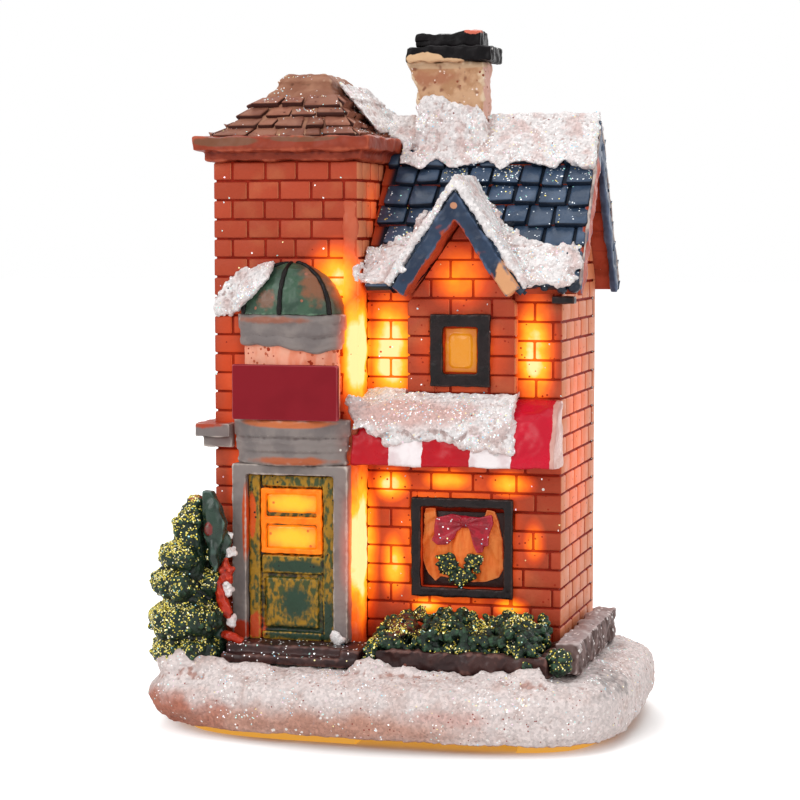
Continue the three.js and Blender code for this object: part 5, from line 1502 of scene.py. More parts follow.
@dataclass
class MainRoof:
    """The slated roof of the main block, with its gable board, dormer and eave bracket.

    A slate's lower edge stands out of the roof by its lip and its upper edge lies in it by its tuck, under
    the row above.
    """

    rise: float = 24.0
    run: float = 16.25
    dormer_rise: float = 14.0
    dormer_half: float = 9.6
    rows: int = 8
    dormer_rows: int = 5
    slate_width: float = 4.2
    slate_depth: float = 1.25
    lip: float = 0.78
    tuck: float = -0.35
    lap: float = 0.5
    rounding: float = 0.3
    overhang: float = 0.85
    dormer_inset: float = 0.9
    seed: int = 5

    def __post_init__(self) -> None:
        """Reads the roof's lines off the frame."""
        low, high = node_box("main_roof")
        board_low, board_high = node_box("gable_bargeboard")
        walls_low, _ = node_box("main_walls")
        self.dormer_low, dormer_high = node_box("dormer_roof")
        self.left, self.right = low.x, high.x
        self.ridge_y = (board_low.y + board_high.y) / 2
        self.ridge_z = board_high.z
        self.eave_z = self.ridge_z - self.rise
        self.wall_front = walls_low.y
        self.angle = math.atan2(self.rise, self.run)
        self.dormer_x = (self.dormer_low.x + dormer_high.x) / 2
        self.dormer_apex = dormer_high.z
        self.dormer_angle = math.atan2(self.dormer_rise, self.dormer_half)

    def half_width_at(self, level: float) -> float:
        """Gives how far the roof reaches from its ridge line at a level in millimetres."""
        return max(0.0, (self.ridge_z - level) * self.run / self.rise)

    def _slates(
        self,
        form: Form,
        corner: Vector,
        along: Vector,
        rise: Vector,
        height: float,
        rows: int,
        spans: Callable[[float], list[Pair]],
    ) -> None:
        """Lays one slope's slates, each row's lower lip standing over the row below.

        Args:
            form: The form that they are added to.
            corner: The eave's left end seen from outside.
            along: The way along the eave.
            rise: The way up the slope.
            height: The slope's length.
            rows: How many rows.
            spans: Where a row has slates, for how far up it lies.
        """
        rng = random.Random(self.seed + int(abs(corner.y) * 10))
        outward = along.cross(rise)
        pitch = height / rows
        for row in range(rows):
            foot = row * pitch
            for start, end in spans(foot + pitch / 2):
                left = start
                width = self.slate_width * rng.uniform(0.4, 1.1)
                while left < end - 0.6:
                    right = min(left + width, end)
                    if end - right < 0.8:
                        right = end
                    ragged = rng.uniform(-0.5, 0.25)
                    lift = rng.uniform(-0.2, 0.2)
                    gap = rng.uniform(0.1, 0.24)
                    places = (
                        (left + gap, foot + ragged, self.lip + lift),
                        (right - gap, foot + ragged + rng.uniform(-0.25, 0.25), self.lip + lift),
                        (right - gap, foot + pitch + self.lap, self.tuck),
                        (left + gap, foot + pitch + self.lap, self.tuck),
                    )
                    corners = [corner + along * u + rise * v + outward * w for u, v, w in places]
                    form.block(corners, self.slate_depth, self.rounding, rng.uniform(-1, 1))
                    left = right
                    width = self.slate_width * rng.uniform(0.72, 1.3)

    def _front_spans(self, up: float) -> list[Pair]:
        """Finds where the front slope has slates, on both sides of the dormer.

        Args:
            up: How far up the slope.

        Returns:
            The start and end of each run of slates.
        """
        length = self.right - self.left
        level = self.eave_z + up * math.sin(self.angle)
        half = self.dormer_half * (self.dormer_apex - level) / self.dormer_rise - 1.1
        torn = 1.0 + 0.9 * math.sin(up * 2.9)
        if half <= 0:
            return [(torn, length + self.overhang)]
        middle = self.dormer_x - self.left
        return [(torn, middle - half), (middle + half, length + self.overhang)]

    def _dormer_reach(self, up: float) -> float:
        """Finds how far back a dormer slope has slates before it meets the main slope.

        Args:
            up: How far up the slope.

        Returns:
            The length of the row, from a little behind the dormer's front.
        """
        level = self.dormer_apex - self.dormer_rise + up * math.sin(self.dormer_angle)
        return self.ridge_y - self.half_width_at(level) + 0.4 - self.dormer_low.y - self.dormer_inset

    def build(self) -> None:
        """Lays the slates and dresses the boards."""
        dress(Finish.UNDERLAY, "main_roof")
        cos, sin = math.cos(self.angle), math.sin(self.angle)
        form = Form()
        slope = math.hypot(self.rise, self.run)
        front_eave = Vector((self.left, self.ridge_y - self.run, self.eave_z))
        back_eave = Vector((self.right, self.ridge_y + self.run, self.eave_z))
        back_span = (-self.overhang, self.right - self.left)
        self._slates(form, front_eave, RIGHT, Vector((0, cos, sin)), slope, self.rows, self._front_spans)
        self._slates(form, back_eave, -RIGHT, Vector((0, -cos, sin)), slope, self.rows,
                     lambda up: [back_span])
        for x, lift, size in ((27.0, 0.1, 1.0), (25.2, -0.1, 0.8), (26.3, 0.9, 0.8), (22.6, 0.0, 0.6)):
            form.ball(front_eave + Vector((x - self.left, 0.1, lift)), size)
        form.uneven((1.5, 0.26), (0.55, 0.1))
        self.slates = finish_piece("roof_slates", form, Finish.SLATE, sharp=50)
        self._dormer()
        cast_nodes("gable_board", ["gable_bargeboard"], Finish.GABLE, "slate", 0.22, 2, (2.5, 0.3),
                   (0.8, 0.08))
        self._verge()
        cast_nodes("bracket_cast", ["eave_bracket"], Finish.BLACK, "black_paint", 0.15, 2, (1.0, 0.1))

    def _verge(self) -> None:
        """Makes the worn pale edge of the gable board, from both eaves up to the ridge."""
        verge = Form()
        ridge = Vector((self.right + 0.82, self.ridge_y, self.ridge_z + 0.2))
        for side in (-1, 1):
            foot = Vector((self.right + 0.82, self.ridge_y + side * self.run, self.eave_z + 0.3))
            steps = 30
            path = [foot.lerp(ridge, i / steps) for i in range(steps + 1)]
            verge.rod(path, [0.2 + 0.1 * noise.noise(p) for p in path], 2)
        verge.uneven((1.2, 0.14))
        finish_piece("verge_line", verge, Finish.VERGE)

    def _dormer(self) -> None:
        """Makes the dormer's two thick boards and the slates on them."""
        cast_nodes("dormer_boards", ["dormer_roof"], Finish.BOARD, "slate", 0.25, 6, (2.5, 0.35), (0.8, 0.1))
        cos, sin = math.cos(self.dormer_angle), math.sin(self.dormer_angle)
        length = math.hypot(self.dormer_half, self.dormer_rise)
        form = Form()
        for side in (-1, 1):
            foot = Vector((
                self.dormer_x + side * self.dormer_half, self.dormer_low.y + self.dormer_inset,
                self.dormer_apex - self.dormer_rise,
            ))
            self._slates(form, foot, side * BACK, Vector((-side * cos, 0, sin)), length, self.dormer_rows,
                         lambda up: [tuple(sorted((0.0, side * self._dormer_reach(up))))])
        form.uneven((1.3, 0.12))
        self.dormer_slates = finish_piece("dormer_slates", form, Finish.SLATE, sharp=50)


@dataclass
class MainBlock:
    """The main block's brick walls and the bay under the dormer."""

    courses: int = 29
    bay_courses: int = 11
    course_height: float = 2.8
    brick: float = 6.1
    bay_brick: float = 5.9
    slate_bed: float = 2.1
    work: Brickwork = field(default_factory=Brickwork)

    def build(self, roof: MainRoof) -> None:
        """Lays the main walls and the bay.

        Args:
            roof: The roof over them.
        """
        self.work.joints("main_joints", "main_walls", 0, 1, 1, 1)
        low, high = node_box("main_walls")
        hole = self.work.opening("shop_window_frame", low, 0.7)
        width = high.x - low.x
        form = Form()
        for corner, along, length, holes in (
            ((low.x, low.y), RIGHT, width, (hole,)), ((high.x, low.y), BACK, high.y - low.y, ()),
            ((high.x, high.y), -RIGHT, width, ()),
        ):
            corner = Vector((*corner, low.z))
            self.work.lay(form, WallFace(
                corner, along, length, self.courses, self.course_height, self.brick, holes
            ))
        self.work.mark(form, low, high)
        cos, sin = math.cos(roof.angle), math.sin(roof.angle)
        for side in (-1, 1):
            form.cut((0, roof.ridge_y, roof.ridge_z - self.slate_bed / cos), (0, side * sin, cos))
        finish_piece("main_bricks", form, Finish.BRICK, sharp=50)
        self._bay(roof)

    def _bay(self, roof: MainRoof) -> None:
        """Lays the bay's bricks round the upper window.

        Args:
            roof: The roof, whose dormer covers the bay.
        """
        self.work.joints("bay_joints", "front_bay", 1, 1, 1, 0)
        low, high = node_box("front_bay")
        hole = self.work.opening("upper_window_frame", low, 0.5)
        depth = roof.wall_front - low.y + 0.6
        form = Form()
        for corner, along, length, *more in (
            (low, RIGHT, high.x - low.x, self.bay_brick, (hole,)),
            (Vector((high.x, low.y, low.z)), BACK, depth), (low + BACK * depth, -BACK, depth),
        ):
            self.work.lay(form, WallFace(corner, along, length, self.bay_courses, self.course_height, *more))
        cos, sin = math.cos(roof.dormer_angle), math.sin(roof.dormer_angle)
        for side in (-1, 1):
            form.cut((roof.dormer_x, 0, high.z), (side * sin, 0, cos))
        self.work.mark(form, low, high + BACK * 5)
        finish_piece("bay_bricks", form, Finish.BRICK, sharp=50)


@dataclass
class TowerRoof:
    """The tower's low tiled roof and its cap.

    A tile's lower edge stands out of the roof by its lip and its upper edge lies in it by its tuck. The
    sides bulge where bow is below 1.
    """

    rows: int = 4
    tiled_share: float = 0.74
    tile_width: float = 4.2
    tile_depth: float = 1.0
    rounding: float = 0.26
    lip: float = 0.52
    tuck: float = -0.25
    gap: float = 0.2
    bow: float = 0.9
    seed: int = 23

    def build(self) -> None:
        """Dresses the roof's body and lays tiles on its four sides."""
        self.body = cast_nodes("tower_roof_cast", ["tower_roof", "tower_roof_cap"], Finish.TILE_BODY, "tile",
                               0.28, 6, (2.5, 0.3), (0.8, 0.12))
        self.low, self.high = node_box("tower_roof")
        self.cap_low, self.cap_high = node_box("tower_roof_cap")
        form = Form()
        rng = random.Random(self.seed)
        for side in range(4):
            for row in range(self.rows):
                foot = row / self.rows * self.tiled_share
                head = (row + 1.12) / self.rows * self.tiled_share
                edge = (self._at(side, 1, foot) - self._at(side, 0, foot)).length
                number = max(2, round(edge / self.tile_width))
                breaks = [0.0] + [(i + rng.uniform(-0.25, 0.25)) / number for i in range(1, number)] + [1.0]
                for left, right in zip(breaks, breaks[1:]):
                    self._tile(form, side, (left, right), (foot, head), rng)
        form.uneven((1.2, 0.36), (0.5, 0.12))
        self.tiles = finish_piece("tower_tiles", form, Finish.TILE, sharp=50)

    def _at(self, side: int, share: float, up: float) -> Vector:
        """Finds a point of one side.

        Args:
            side: The side, counted from the front.
            share: How far along it, from 0 to 1.
            up: How far up, from 0 to 1.

        Returns:
            The point.
        """
        outer, inner = (self.high - self.low) / 2, (self.cap_high - self.cap_low) / 2
        half = outer.lerp(inner, up**self.bow)
        centre = ((self.low + self.high) / 2).lerp((self.cap_low + self.cap_high) / 2, up)
        level = self.low.z + (self.high.z - self.low.z) * up
        signs = ((-1, -1), (1, -1), (1, 1), (-1, 1))
        left, right = (
            Vector((centre.x + x * half.x, centre.y + y * half.y, level))
            for x, y in (signs[side], signs[(side + 1) % 4])
        )
        return left.lerp(right, share)

    def _tile(self, form: Form, side: int, across: Pair, up: Pair, rng: random.Random) -> None:
        """Adds one tile, its lower edge standing proud.

        Args:
            form: The form that it is added to.
            side: The side that it lies on.
            across: Its left and right end, from 0 to 1.
            up: Its lower and upper end, from 0 to 1.
            rng: Source of its unevenness.
        """
        (left, right), (foot, head) = across, up
        base = [self._at(side, u, v) for u, v in ((left, foot), (right, foot), (right, head), (left, head))]
        outward = (base[1] - base[0]).cross(base[3] - base[0]).normalized()
        lip = self.lip + rng.uniform(-0.25, 0.25)
        lifts = (lip, lip + rng.uniform(-0.1, 0.1), self.tuck, self.tuck)
        gap = (base[1] - base[0]).normalized() * self.gap
        drop = (base[3] - base[0]).normalized() * rng.uniform(-0.4, 0.15)
        nudges = (gap + drop, drop - gap, -gap, gap)
        corners = [p + outward * lift + nudge for p, lift, nudge in zip(base, lifts, nudges)]
        form.block(corners, self.tile_depth, self.rounding, rng.uniform(-1, 1))


@dataclass
class Chimney:
    """The chimney: a stuccoed stack under two dark slabs, all drawn in a little from the solids."""

    stack_depth: float = 0.76
    narrow: float = 0.7
    flare: float = 1.6
    flare_height: float = 4.0

    def build(self) -> None:
        """Casts its three pieces."""
        self.low, self.high = node_box("chimney_stack")
        stack = Form.of_nodes("chimney_stack").cast(0.25, 3, (2.2, 0.45), (0.7, 0.14)).shape(self._flared)
        finish_piece("chimney_stack_cast", stack, Finish.CHIMNEY, ["chimney_stack"])
        for node, near, share, dip in (
            ("chimney_cap_lower", (0.85, 0.6), (0.92, 0.76), 0.0),
            ("chimney_cap_upper", (0.55, 0.5), (0.88, 0.74), 0.4),
        ):
            fitted = partial(self._fitted, node_box(node)[0], near, share, dip)
            slab = Form.of_nodes(node).cast(0.2, 6, (1.8, 0.35), (0.6, 0.08)).shape(fitted)
            finish_piece(f"{node}_cast", slab, Finish.CHIMNEY_CAP, [node])

    def _flared(self, place: Vector) -> Vector:
        """Narrows the stack and widens its left side towards the slab above it.

        Args:
            place: A point of the stack.

        Returns:
            Its new place.
        """
        height = self.flare_height
        wider = max(0.0, (place.z - self.high.z + height) / height) * max(0.0, (3.0 - place.x) / 3.0)
        narrow = self.narrow * max(0.0, (4.0 - place.x) / 4.5)
        deep = self.low.y + (place.y - self.low.y) * self.stack_depth
        return Vector((place.x + narrow - self.flare * wider, deep, place.z))

    @staticmethod
    def _fitted(low: Vector, near: Pair, share: Pair, dip: float, place: Vector) -> Vector:
        """Draws a slab in to the real one's size, its left half a little lower.

        Args:
            low: The slab's lowest corner.
            near: How far that corner moves in along X and Y.
            share: What share of its size the slab keeps along X and Y.
            dip: How far the top of its left half sinks.
            place: A point of the slab.

        Returns:
            Its new place.
        """
        sunk = dip * max(0.0, min(1.0, (7.5 - place.x) / 2.0)) * (place.z > low.z + 1.2)
        x, y = (a + b + (v - a) * s for a, b, v, s in zip(low, near, place, share))
        return Vector((x, y, place.z - sunk))


@dataclass
class EntranceBay:
    """The bay round the door: its stucco body, its two cornices with their beads, the string course, the dome
    with its ribs, and the sign.
    """

    rib_angles: tuple[float, ...] = (-62.0, -6.0, 52.0)
    rib_radius: float = 0.42
    rib_steps: int = 18
    bead_steps: int = 40

    def build(self) -> None:
        """Casts the bay's pieces."""
        cast_nodes("bay_body", ["door_bay"], Finish.STUCCO, "stucco", 0.22, 2, (2.0, 0.14), (0.6, 0.08))
        for node, beads in (
            ("bay_lower_cornice", ((0.93, 0.42, 0.0), (0.5, 0.5, 0.0), (0.08, 0.4, 0.0))),
            ("bay_upper_cornice", (
                (0.84, 0.75, 0.0), (0.45, 0.85, 0.1), (0.16, 0.75, 0.5), (0.08, 0.6, 1.05),
            )),
        ):
            bands = Form.of_nodes(node)
            for share, radius, sag in beads:
                bands.rod(self._bead(node, share, radius, sag), [radius] * self.bead_steps)
            bands.cast(0.17, 4, (3.0, 0.14), (0.8, 0.04))
            finish_piece(f"{node}_cast", bands, Finish.STONE, [node])
        cast_nodes("string_cast", ["string_course"], Finish.STONE, "grey_stone", 0.22, 2, (2.0, 0.2))
        cast_nodes("dome_cast", ["bay_dome"], Finish.COPPER, "copper_green", 0.2, 3, (2.2, 0.16), (0.7, 0.06))
        self._ribs()
        cast_nodes("sign_cast", ["sign_board"], Finish.SIGN, "sign_red", 0.2, 2, (3.0, 0.06))

    def _bead(self, node: str, share: float, radius: float, sag: float) -> list[Vector]:
        """Gives the path of a bead round a cornice's front, drooping a little right of its middle.

        Args:
            node: The cornice.
            share: How high up the cornice it lies.
            radius: Its radius.
            sag: How far it droops.

        Returns:
            The path's points.
        """
        low, high = node_box(node)
        skin = Skin([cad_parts[node]])
        level = low.z + (high.z - low.z) * share
        path = []
        for i in range(self.bead_steps):
            x = low.x + radius + (high.x - low.x - 2 * radius) * i / (self.bead_steps - 1)
            droop = sag * math.exp(-(((x + 10.5) / 3.6) ** 2)) + 0.14 * math.sin(x * 1.7)
            path.append(Vector((x, skin.front(x, level).y + radius * 0.55, level - droop)))
        return path

    def _ribs(self) -> None:
        """Makes the dark ribs from the dome's foot to its top."""
        low, high = node_box("bay_dome")
        centre = Vector(((low.x + high.x) / 2, high.y, low.z))
        half = Vector(((high.x - low.x) / 2, high.y - low.y, high.z - low.z))
        form = Form()
        for angle in self.rib_angles:
            turn = math.radians(angle)
            path, radii = [], []
            for i in range(self.rib_steps):
                lift = math.pi / 2 * i / self.rib_steps
                across, out = math.sin(turn) * math.cos(lift), -math.cos(turn) * math.cos(lift)
                path.append(centre + Vector((across * half.x, out * half.y, math.sin(lift) * half.z)))
                radii.append(self.rib_radius * (1.0 - 0.3 * i / self.rib_steps))
            form.rod(path, radii)
        form.cast(0.15, 1, (0.8, 0.1))
        finish_piece("dome_ribs", form, Finish.RIB)


@dataclass
class Entrance:
    """The door: its frame, its panelled leaf, two amber panes and the step in front.

    Attributes:
        relief: How far stiles and rails stand out of the leaf.
        stile: How wide a stile is.
        groove: How wide the groove beside a rail is.
        bar: How wide the bars round the panes are.
    """

    relief: float = 0.62
    stile: float = 1.7
    groove: float = 0.3
    bar: float = 0.75

    def build(self) -> None:
        """Casts the frame and step and builds the leaf."""
        cast_nodes("door_surround", ["door_frame"], Finish.STONE, "grey_stone", 0.2, 2, (2.5, 0.14),
                   (0.7, 0.04))
        self._leaf()
        self._pane("door_pane_upper", Finish.DOOR_UPPER)
        self._pane("door_pane_lower", Finish.DOOR_LOWER)
        self._step()

    def _leaf(self) -> None:
        """Builds the leaf of stiles, rails and a raised lower panel, and the bars round its panes."""
        low, high = node_box("door_leaf")
        face, back = low.y, low.y + self.relief
        pane_low, lower_high = node_box("door_pane_lower")
        _, pane_high = node_box("door_pane_upper")
        foot, head = pane_low.z - 0.55, pane_high.z + 0.6
        inner_left, inner_right = low.x + self.stile, high.x - self.stile
        left, right = inner_left + self.groove, inner_right - self.groove
        form = Form()
        form.box((low.x, back, low.z), high, 0.1)
        for x0, x1, z0, z1 in (
            (low.x, inner_left, low.z, high.z), (inner_right, high.x, low.z, high.z),
            (left, right, head + self.groove, high.z), (left, right, 23.0, foot - self.groove),
            (left, right, low.z, 14.2),
        ):
            form.box((x0, face, z0), (x1, back + 0.2, z1), 0.16)
        form.box((inner_left + 0.8, face + 0.12, 14.9), (inner_right - 0.8, back + 0.2, 22.3), 0.3)
        form.cast(0.15, 1, (1.8, 0.12), (0.5, 0.05))
        finish_piece("door_leaf_cast", form, Finish.DOOR, ["door_leaf"])
        bar = self.bar
        left, right = pane_low.x - bar, pane_high.x + bar
        split = (pane_high.z - 3.4 + lower_high.z) / 2
        bars = Form()
        for x0, x1, z0, z1 in (
            (left, left + bar, foot, head), (right - bar, right, foot, head), (left, right, head - bar, head),
            (left, right, foot, foot + bar), (left, right, split - 0.55, split + 0.55),
        ):
            bars.box((x0, face - 0.25, z0), (x1, back, z1), 0.18)
        bars.cast(0.14, 2, (1.0, 0.1))
        finish_piece("door_glazing_bars", bars, Finish.GLAZING)

    @staticmethod
    def _pane(node: str, finish: Finish) -> None:
        """Makes one pillow-shaped pane.

        Args:
            node: The CAD pane.
            finish: Its finish.
        """
        low, high = node_box(node)
        form = Form()
        form.box((low.x, low.y - 0.1, low.z), (high.x, high.y + 0.3, high.z), 0.45)
        form.cast(0.14, 3, (1.4, 0.12))
        finish_piece(f"{node}_cast", form, finish, [node])

    def _step(self) -> None:
        """Makes the two-tier step and its end block."""
        low, high = node_box("door_step")
        middle = low.z + (high.z - low.z) * 0.5
        form = Form()
        form.box(low, (high.x - 0.4, high.y, middle), 0.2)
        form.box((low.x + 0.3, low.y + 1.3, middle - 0.3), (high.x - 2.6, high.y, high.z), 0.3)
        form.box((high.x - 3.0, low.y + 0.2, low.z), high, 0.3)
        form.cast(0.2, 2, (2.5, 0.25), (0.8, 0.08))
        self.step = finish_piece("door_step_cast", form, Finish.DARK_STONE, ["door_step"])


@dataclass
class ShopFront:
    """The awning, the upper window, and the shop window with its drapes, bow and garland."""

    drapes: tuple[Pair, ...] = (
        (4.0, 32.5), (3.75, 28.0), (3.7, 24.6), (4.6, 22.8), (5.6, 21.6), (6.4, 22.4), (9.4, 22.0),
        (11.4, 21.7), (13.6, 21.9), (15.2, 22.5), (16.05, 24.0), (15.8, 28.0), (15.2, 30.8),
        (14.6, 32.4), (13.4, 32.6), (13.0, 31.0), (9.6, 30.6), (5.8, 31.0), (5.6, 32.6),
    )
    bow_parts: tuple[tuple[Pair, ...], ...] = (
        ((10.3, 31.6), (8.3, 31.9), (5.8, 31.2), (5.6, 29.1), (7.9, 28.9), (9.3, 29.4), (10.3, 30.3)),
        ((10.3, 30.3), (11.3, 29.6), (13.9, 28.8), (14.6, 30.6), (14.4, 32.0), (12.6, 31.5),
         (10.3, 31.6)),
        ((5.9, 29.3), (5.2, 27.9), (6.1, 27.2), (7.7, 27.3), (8.8, 28.4), (9.2, 29.6)),
        ((10.9, 29.9), (11.6, 27.4), (12.1, 26.2), (13.0, 26.3), (13.2, 27.2), (13.9, 27.3),
         (13.9, 28.8)),
    )
    leaves: int = 64
    seed: int = 31

    def build(self) -> None:
        """Casts the awning and frames and models what hangs in the window."""
        cast_nodes("awning_cast", ["awning"], Finish.AWNING, "awning_red", 0.25, 2, (3.0, 0.3), (0.9, 0.08))
        for node in ("upper_window_frame", "shop_window_frame"):
            cast_nodes(f"{node}_cast", [node], Finish.BLACK, "black_paint", 0.17, 2, (2.0, 0.16), (0.6, 0.05))
        low, high = node_box("upper_window_pane")
        pane = Form()
        pane.box((low.x, low.y + 0.5, low.z), (high.x, high.y + 0.3, high.z), 0.1)
        pane.box((low.x + 0.9, low.y - 0.1, low.z + 0.8), (high.x - 0.8, high.y, high.z - 0.9), 0.5)
        pane.cast(0.16, 3, (1.6, 0.12))
        finish_piece("upper_pane_cast", pane, Finish.UPPER_WINDOW, ["upper_window_pane"])
        self.low, self.high = node_box("shop_curtains")
        self._drapes()
        self._bow()
        self._garland()

    def _drapes(self) -> None:
        """Models the two swept-back drapes and the gathered fold between them."""
        low, high = self.low, self.high
        backing = Form()
        backing.box((low.x, high.y - 0.25, low.z), high, 0.05)
        finish_piece("shop_backing", backing, Finish.BLACK)
        form = Form()
        form.plate(self.drapes, low.y + 0.15, high.y - low.y - 0.35)
        form.ball((9.9, low.y + 0.1, 27.4), (1.7, 0.55, 3.4))
        form.cast(0.14, 2).shape(self._folded).uneven((0.8, 0.08))
        finish_piece("shop_drapes", form, Finish.CURTAIN, ["shop_curtains"])

    def _folded(self, place: Vector) -> Vector:
        """Pushes a point in or out with the folds, which fan out from the bow.

        Args:
            place: A point of the drapes.

        Returns:
            Its new place.
        """
        if place.y > self.high.y - 0.4:
            return place
        turn = math.atan2(place.x - 9.9, 33.5 - place.z)
        fold = math.sin(turn * 17.0) * 0.16 + math.sin(turn * 41.0) * 0.05
        return Vector((place.x, place.y + fold, place.z))

    def _bow(self) -> None:
        """Models the ribbon bow with two wings and two tails."""
        face = self.low.y - 0.75
        form = Form()
        for outline in self.bow_parts:
            form.plate(outline, face, 0.75)
        form.ball((10.35, face + 0.2, 30.8), (0.9, 0.55, 1.0))
        form.cast(0.13, 3).shape(self._pleated)
        self.bow = finish_piece("bow_cast", form, Finish.RIBBON, ["ribbon_bow"])

    @staticmethod
    def _pleated(place: Vector) -> Vector:
        """Pleats the bow's wings towards its knot.

        Args:
            place: A point of the bow.

        Returns:
            Its new place.
        """
        turn = math.atan2(place.z - 30.4, place.x - 10.35)
        return Vector((place.x, place.y + 0.09 * math.sin(turn * 11.0), place.z))

    def _garland(self) -> None:
        """Models the half-round garland of leaves under the bow."""
        rng = random.Random(self.seed)
        form = Form()
        middle = Vector((9.5, self.low.y - 0.35, 25.9))
        for _ in range(self.leaves):
            turn = rng.uniform(math.pi * 1.02, math.pi * 1.98)
            reach = math.sqrt(rng.uniform(0.12, 1.0))
            across, up = math.cos(turn) * 3.0 * reach, math.sin(turn) * 4.3 * reach
            place = middle + Vector((across, rng.uniform(-0.2, 0.2), up))
            way = Vector((math.cos(turn) * 0.9, rng.uniform(-0.4, 0.1), math.sin(turn) * 0.9 + 0.2))
            form.rod([place - way * 0.5, place + way * 0.3, place + way * 1.1], [0.3, 0.5, 0.1], 1)
        form.rod([middle - UP * z for z in (4.4, 5.4, 6.4)], [0.4, 0.35, 0.3], 1)
        form.cast(0.14, 1, (0.6, 0.16))
        self.garland = finish_piece("garland", form, Finish.FOLIAGE, ["wreath"])


def any_way(rng: random.Random) -> Vector:
    """Draws a random direction.

    Args:
        rng: Source of the draw.

    Returns:
        A direction of length 1.
    """
    return Vector(rng.gauss(0, 1) for _ in range(3)).normalized()


@dataclass
class Planting:
    """The tree, the shrub in its trough, the corner bush and the red flowers, with the stone edging.

    A tier of the tree is its level, reach, lump size and lean to the right, and a lump of its tip is a
    level, radius and lean. The bed is the shrub's left, right, front, back and foot.
    """

    tiers: tuple[tuple[float, float, float, float], ...] = (
        (11.6, 5.4, 2.1, 0.0), (16.4, 5.8, 2.2, 0.0), (21.6, 5.3, 2.0, 0.1), (25.8, 4.4, 1.8, 0.3),
        (29.6, 3.0, 1.6, 0.8),
    )
    tip: tuple[Triple, ...] = ((31.2, 2.1, 0.9), (32.5, 1.6, 1.2), (33.6, 1.1, 1.5))
    sprigs: int = 24
    leaf_side: float = 1.4
    shrub_lumps: int = 720
    bed: tuple[float, ...] = (-1.4, 23.6, -19.2, -10.5, 12.9)
    red_paths: tuple[tuple[Pair, ...], ...] = (
        ((-25.0, 22.4), (-24.6, 20.8), (-23.9, 19.0), (-22.8, 17.2)),
        ((-24.8, 20.9), (-24.2, 19.2), (-23.7, 17.4)), ((-24.4, 18.9), (-23.7, 17.8), (-22.9, 16.4)),
        ((-24.2, 14.2), (-22.9, 13.9), (-20.9, 13.2)),
    )
    leaf: tuple[Pair, ...] = (
        (-26.6, 35.6), (-26.7, 32.4), (-26.5, 29.4), (-25.8, 27.4), (-25.2, 24.8), (-24.7, 23.3),
        (-24.2, 24.7), (-24.2, 26.8), (-23.5, 28.3), (-23.2, 30.8), (-24.0, 33.3), (-25.2, 35.4),
    )
    seed: int = 7

    def build(self) -> None:
        """Models the plants and casts the stonework."""
        edging = ("planter_trough", Finish.DARK_STONE, 4), ("right_kerb", Finish.KERB, 14)
        for node, finish, soften in edging:
            cast_nodes(f"{node}_cast", [node], finish, "dark_stone", 0.25, soften, (2.6, 0.6), (0.8, 0.18))
        self._tree()
        self._shrub()
        self._bush()
        face = node_box("poinsettia")[0].y - 1.3
        self._flowers(face)
        self._leaf(face)
        self._frost(face)

    def _flowers(self, face: float) -> None:
        """Models the red flower, the ribbons and the berries by the tree.

        Args:
            face: Where they stand along Y.
        """
        red = Form()
        middle = Vector((-23.5, face, 23.4))
        for turn in range(5):
            angle = math.radians(90 + turn * 72)
            way = Vector((0.8 * math.cos(angle), 0.0, 1.2 * math.sin(angle)))
            red.rod([middle, middle + way * 0.9, middle + way * 1.8], [0.4, 0.72, 0.25], 2)
        for points in self.red_paths:
            path = [Vector((x, face, z)) for x, z in points]
            red.rod(path, [0.5] + [0.8] * (len(path) - 2) + [0.45], 2)
        red.cast(0.13, 1, (0.7, 0.12))
        finish_piece("poinsettia_cast", red, Finish.POINSETTIA, ["poinsettia"])

    def _leaf(self, face: float) -> None:
        """Models the big leaf over the flowers and the lumps that join it to the tree.

        Args:
            face: Where the flowers stand along Y.
        """
        leaf = Form()
        leaf.plate(self.leaf, face - 1.6, 1.8)
        for x, out, z, size in (
            (-25.0, -1.3, 31.5, (1.3, 0.9, 3.4)), (-24.9, -1.3, 26.6, (0.8, 0.8, 2.6)),
            (-25.5, -1.9, 30.0, (0.7, 0.6, 0.9)), (-23.5, 0.0, 27.9, (0.9, 0.8, 2.0)),
            *((-25.0, 1.5, z, (1.2, 1.5, 1.5)) for z in range(12, 28, 2)),
        ):
            leaf.ball((x, face + out, z), size)
        leaf.cast(0.2, 4, (1.6, 0.2))
        finish_piece("tree_leaf", leaf, Finish.LEAF)

    def _frost(self, face: float) -> None:
        """Models the frost on the flowers.

        Args:
            face: Where the flowers stand along Y.
        """
        rng = random.Random(self.seed + 5)
        frost = Form()
        for x, z, count in ((-22.9, 26.4, 24), (-23.3, 21.0, 24), (-22.7, 16.0, 24), (-23.2, 28.6, 12)):
            for _ in range(count):
                place = (x + rng.gauss(0, 0.32), face + 0.2 + rng.gauss(0, 0.2), z + rng.gauss(0, 0.45))
                frost.ball(place, rng.uniform(0.3, 0.55), 1)
        frost.cast(0.15, 2, (0.4, 0.1))
        finish_piece("flower_frost", frost, Finish.SNOW)

    def _bush(self) -> None:
        """Models the bush at the corner as rounded lumps in an egg-shaped space."""
        rng = random.Random(3)
        centre, half = Vector((26.6, -18.8, 12.6)), Vector((1.5, 1.4, 1.9))
        bush = Form()
        for _ in range(34):
            way = any_way(rng)
            place = Vector(w * h * rng.uniform(0.55, 1.0) for w, h in zip(way, half))
            bush.ball(centre + place, 0.6 * rng.uniform(0.75, 1.25))
        bush.cast(0.2, 1, (0.5, 0.14))
        self.bush = finish_piece("bush_cast", bush, Finish.FOLIAGE, ["corner_bush"])

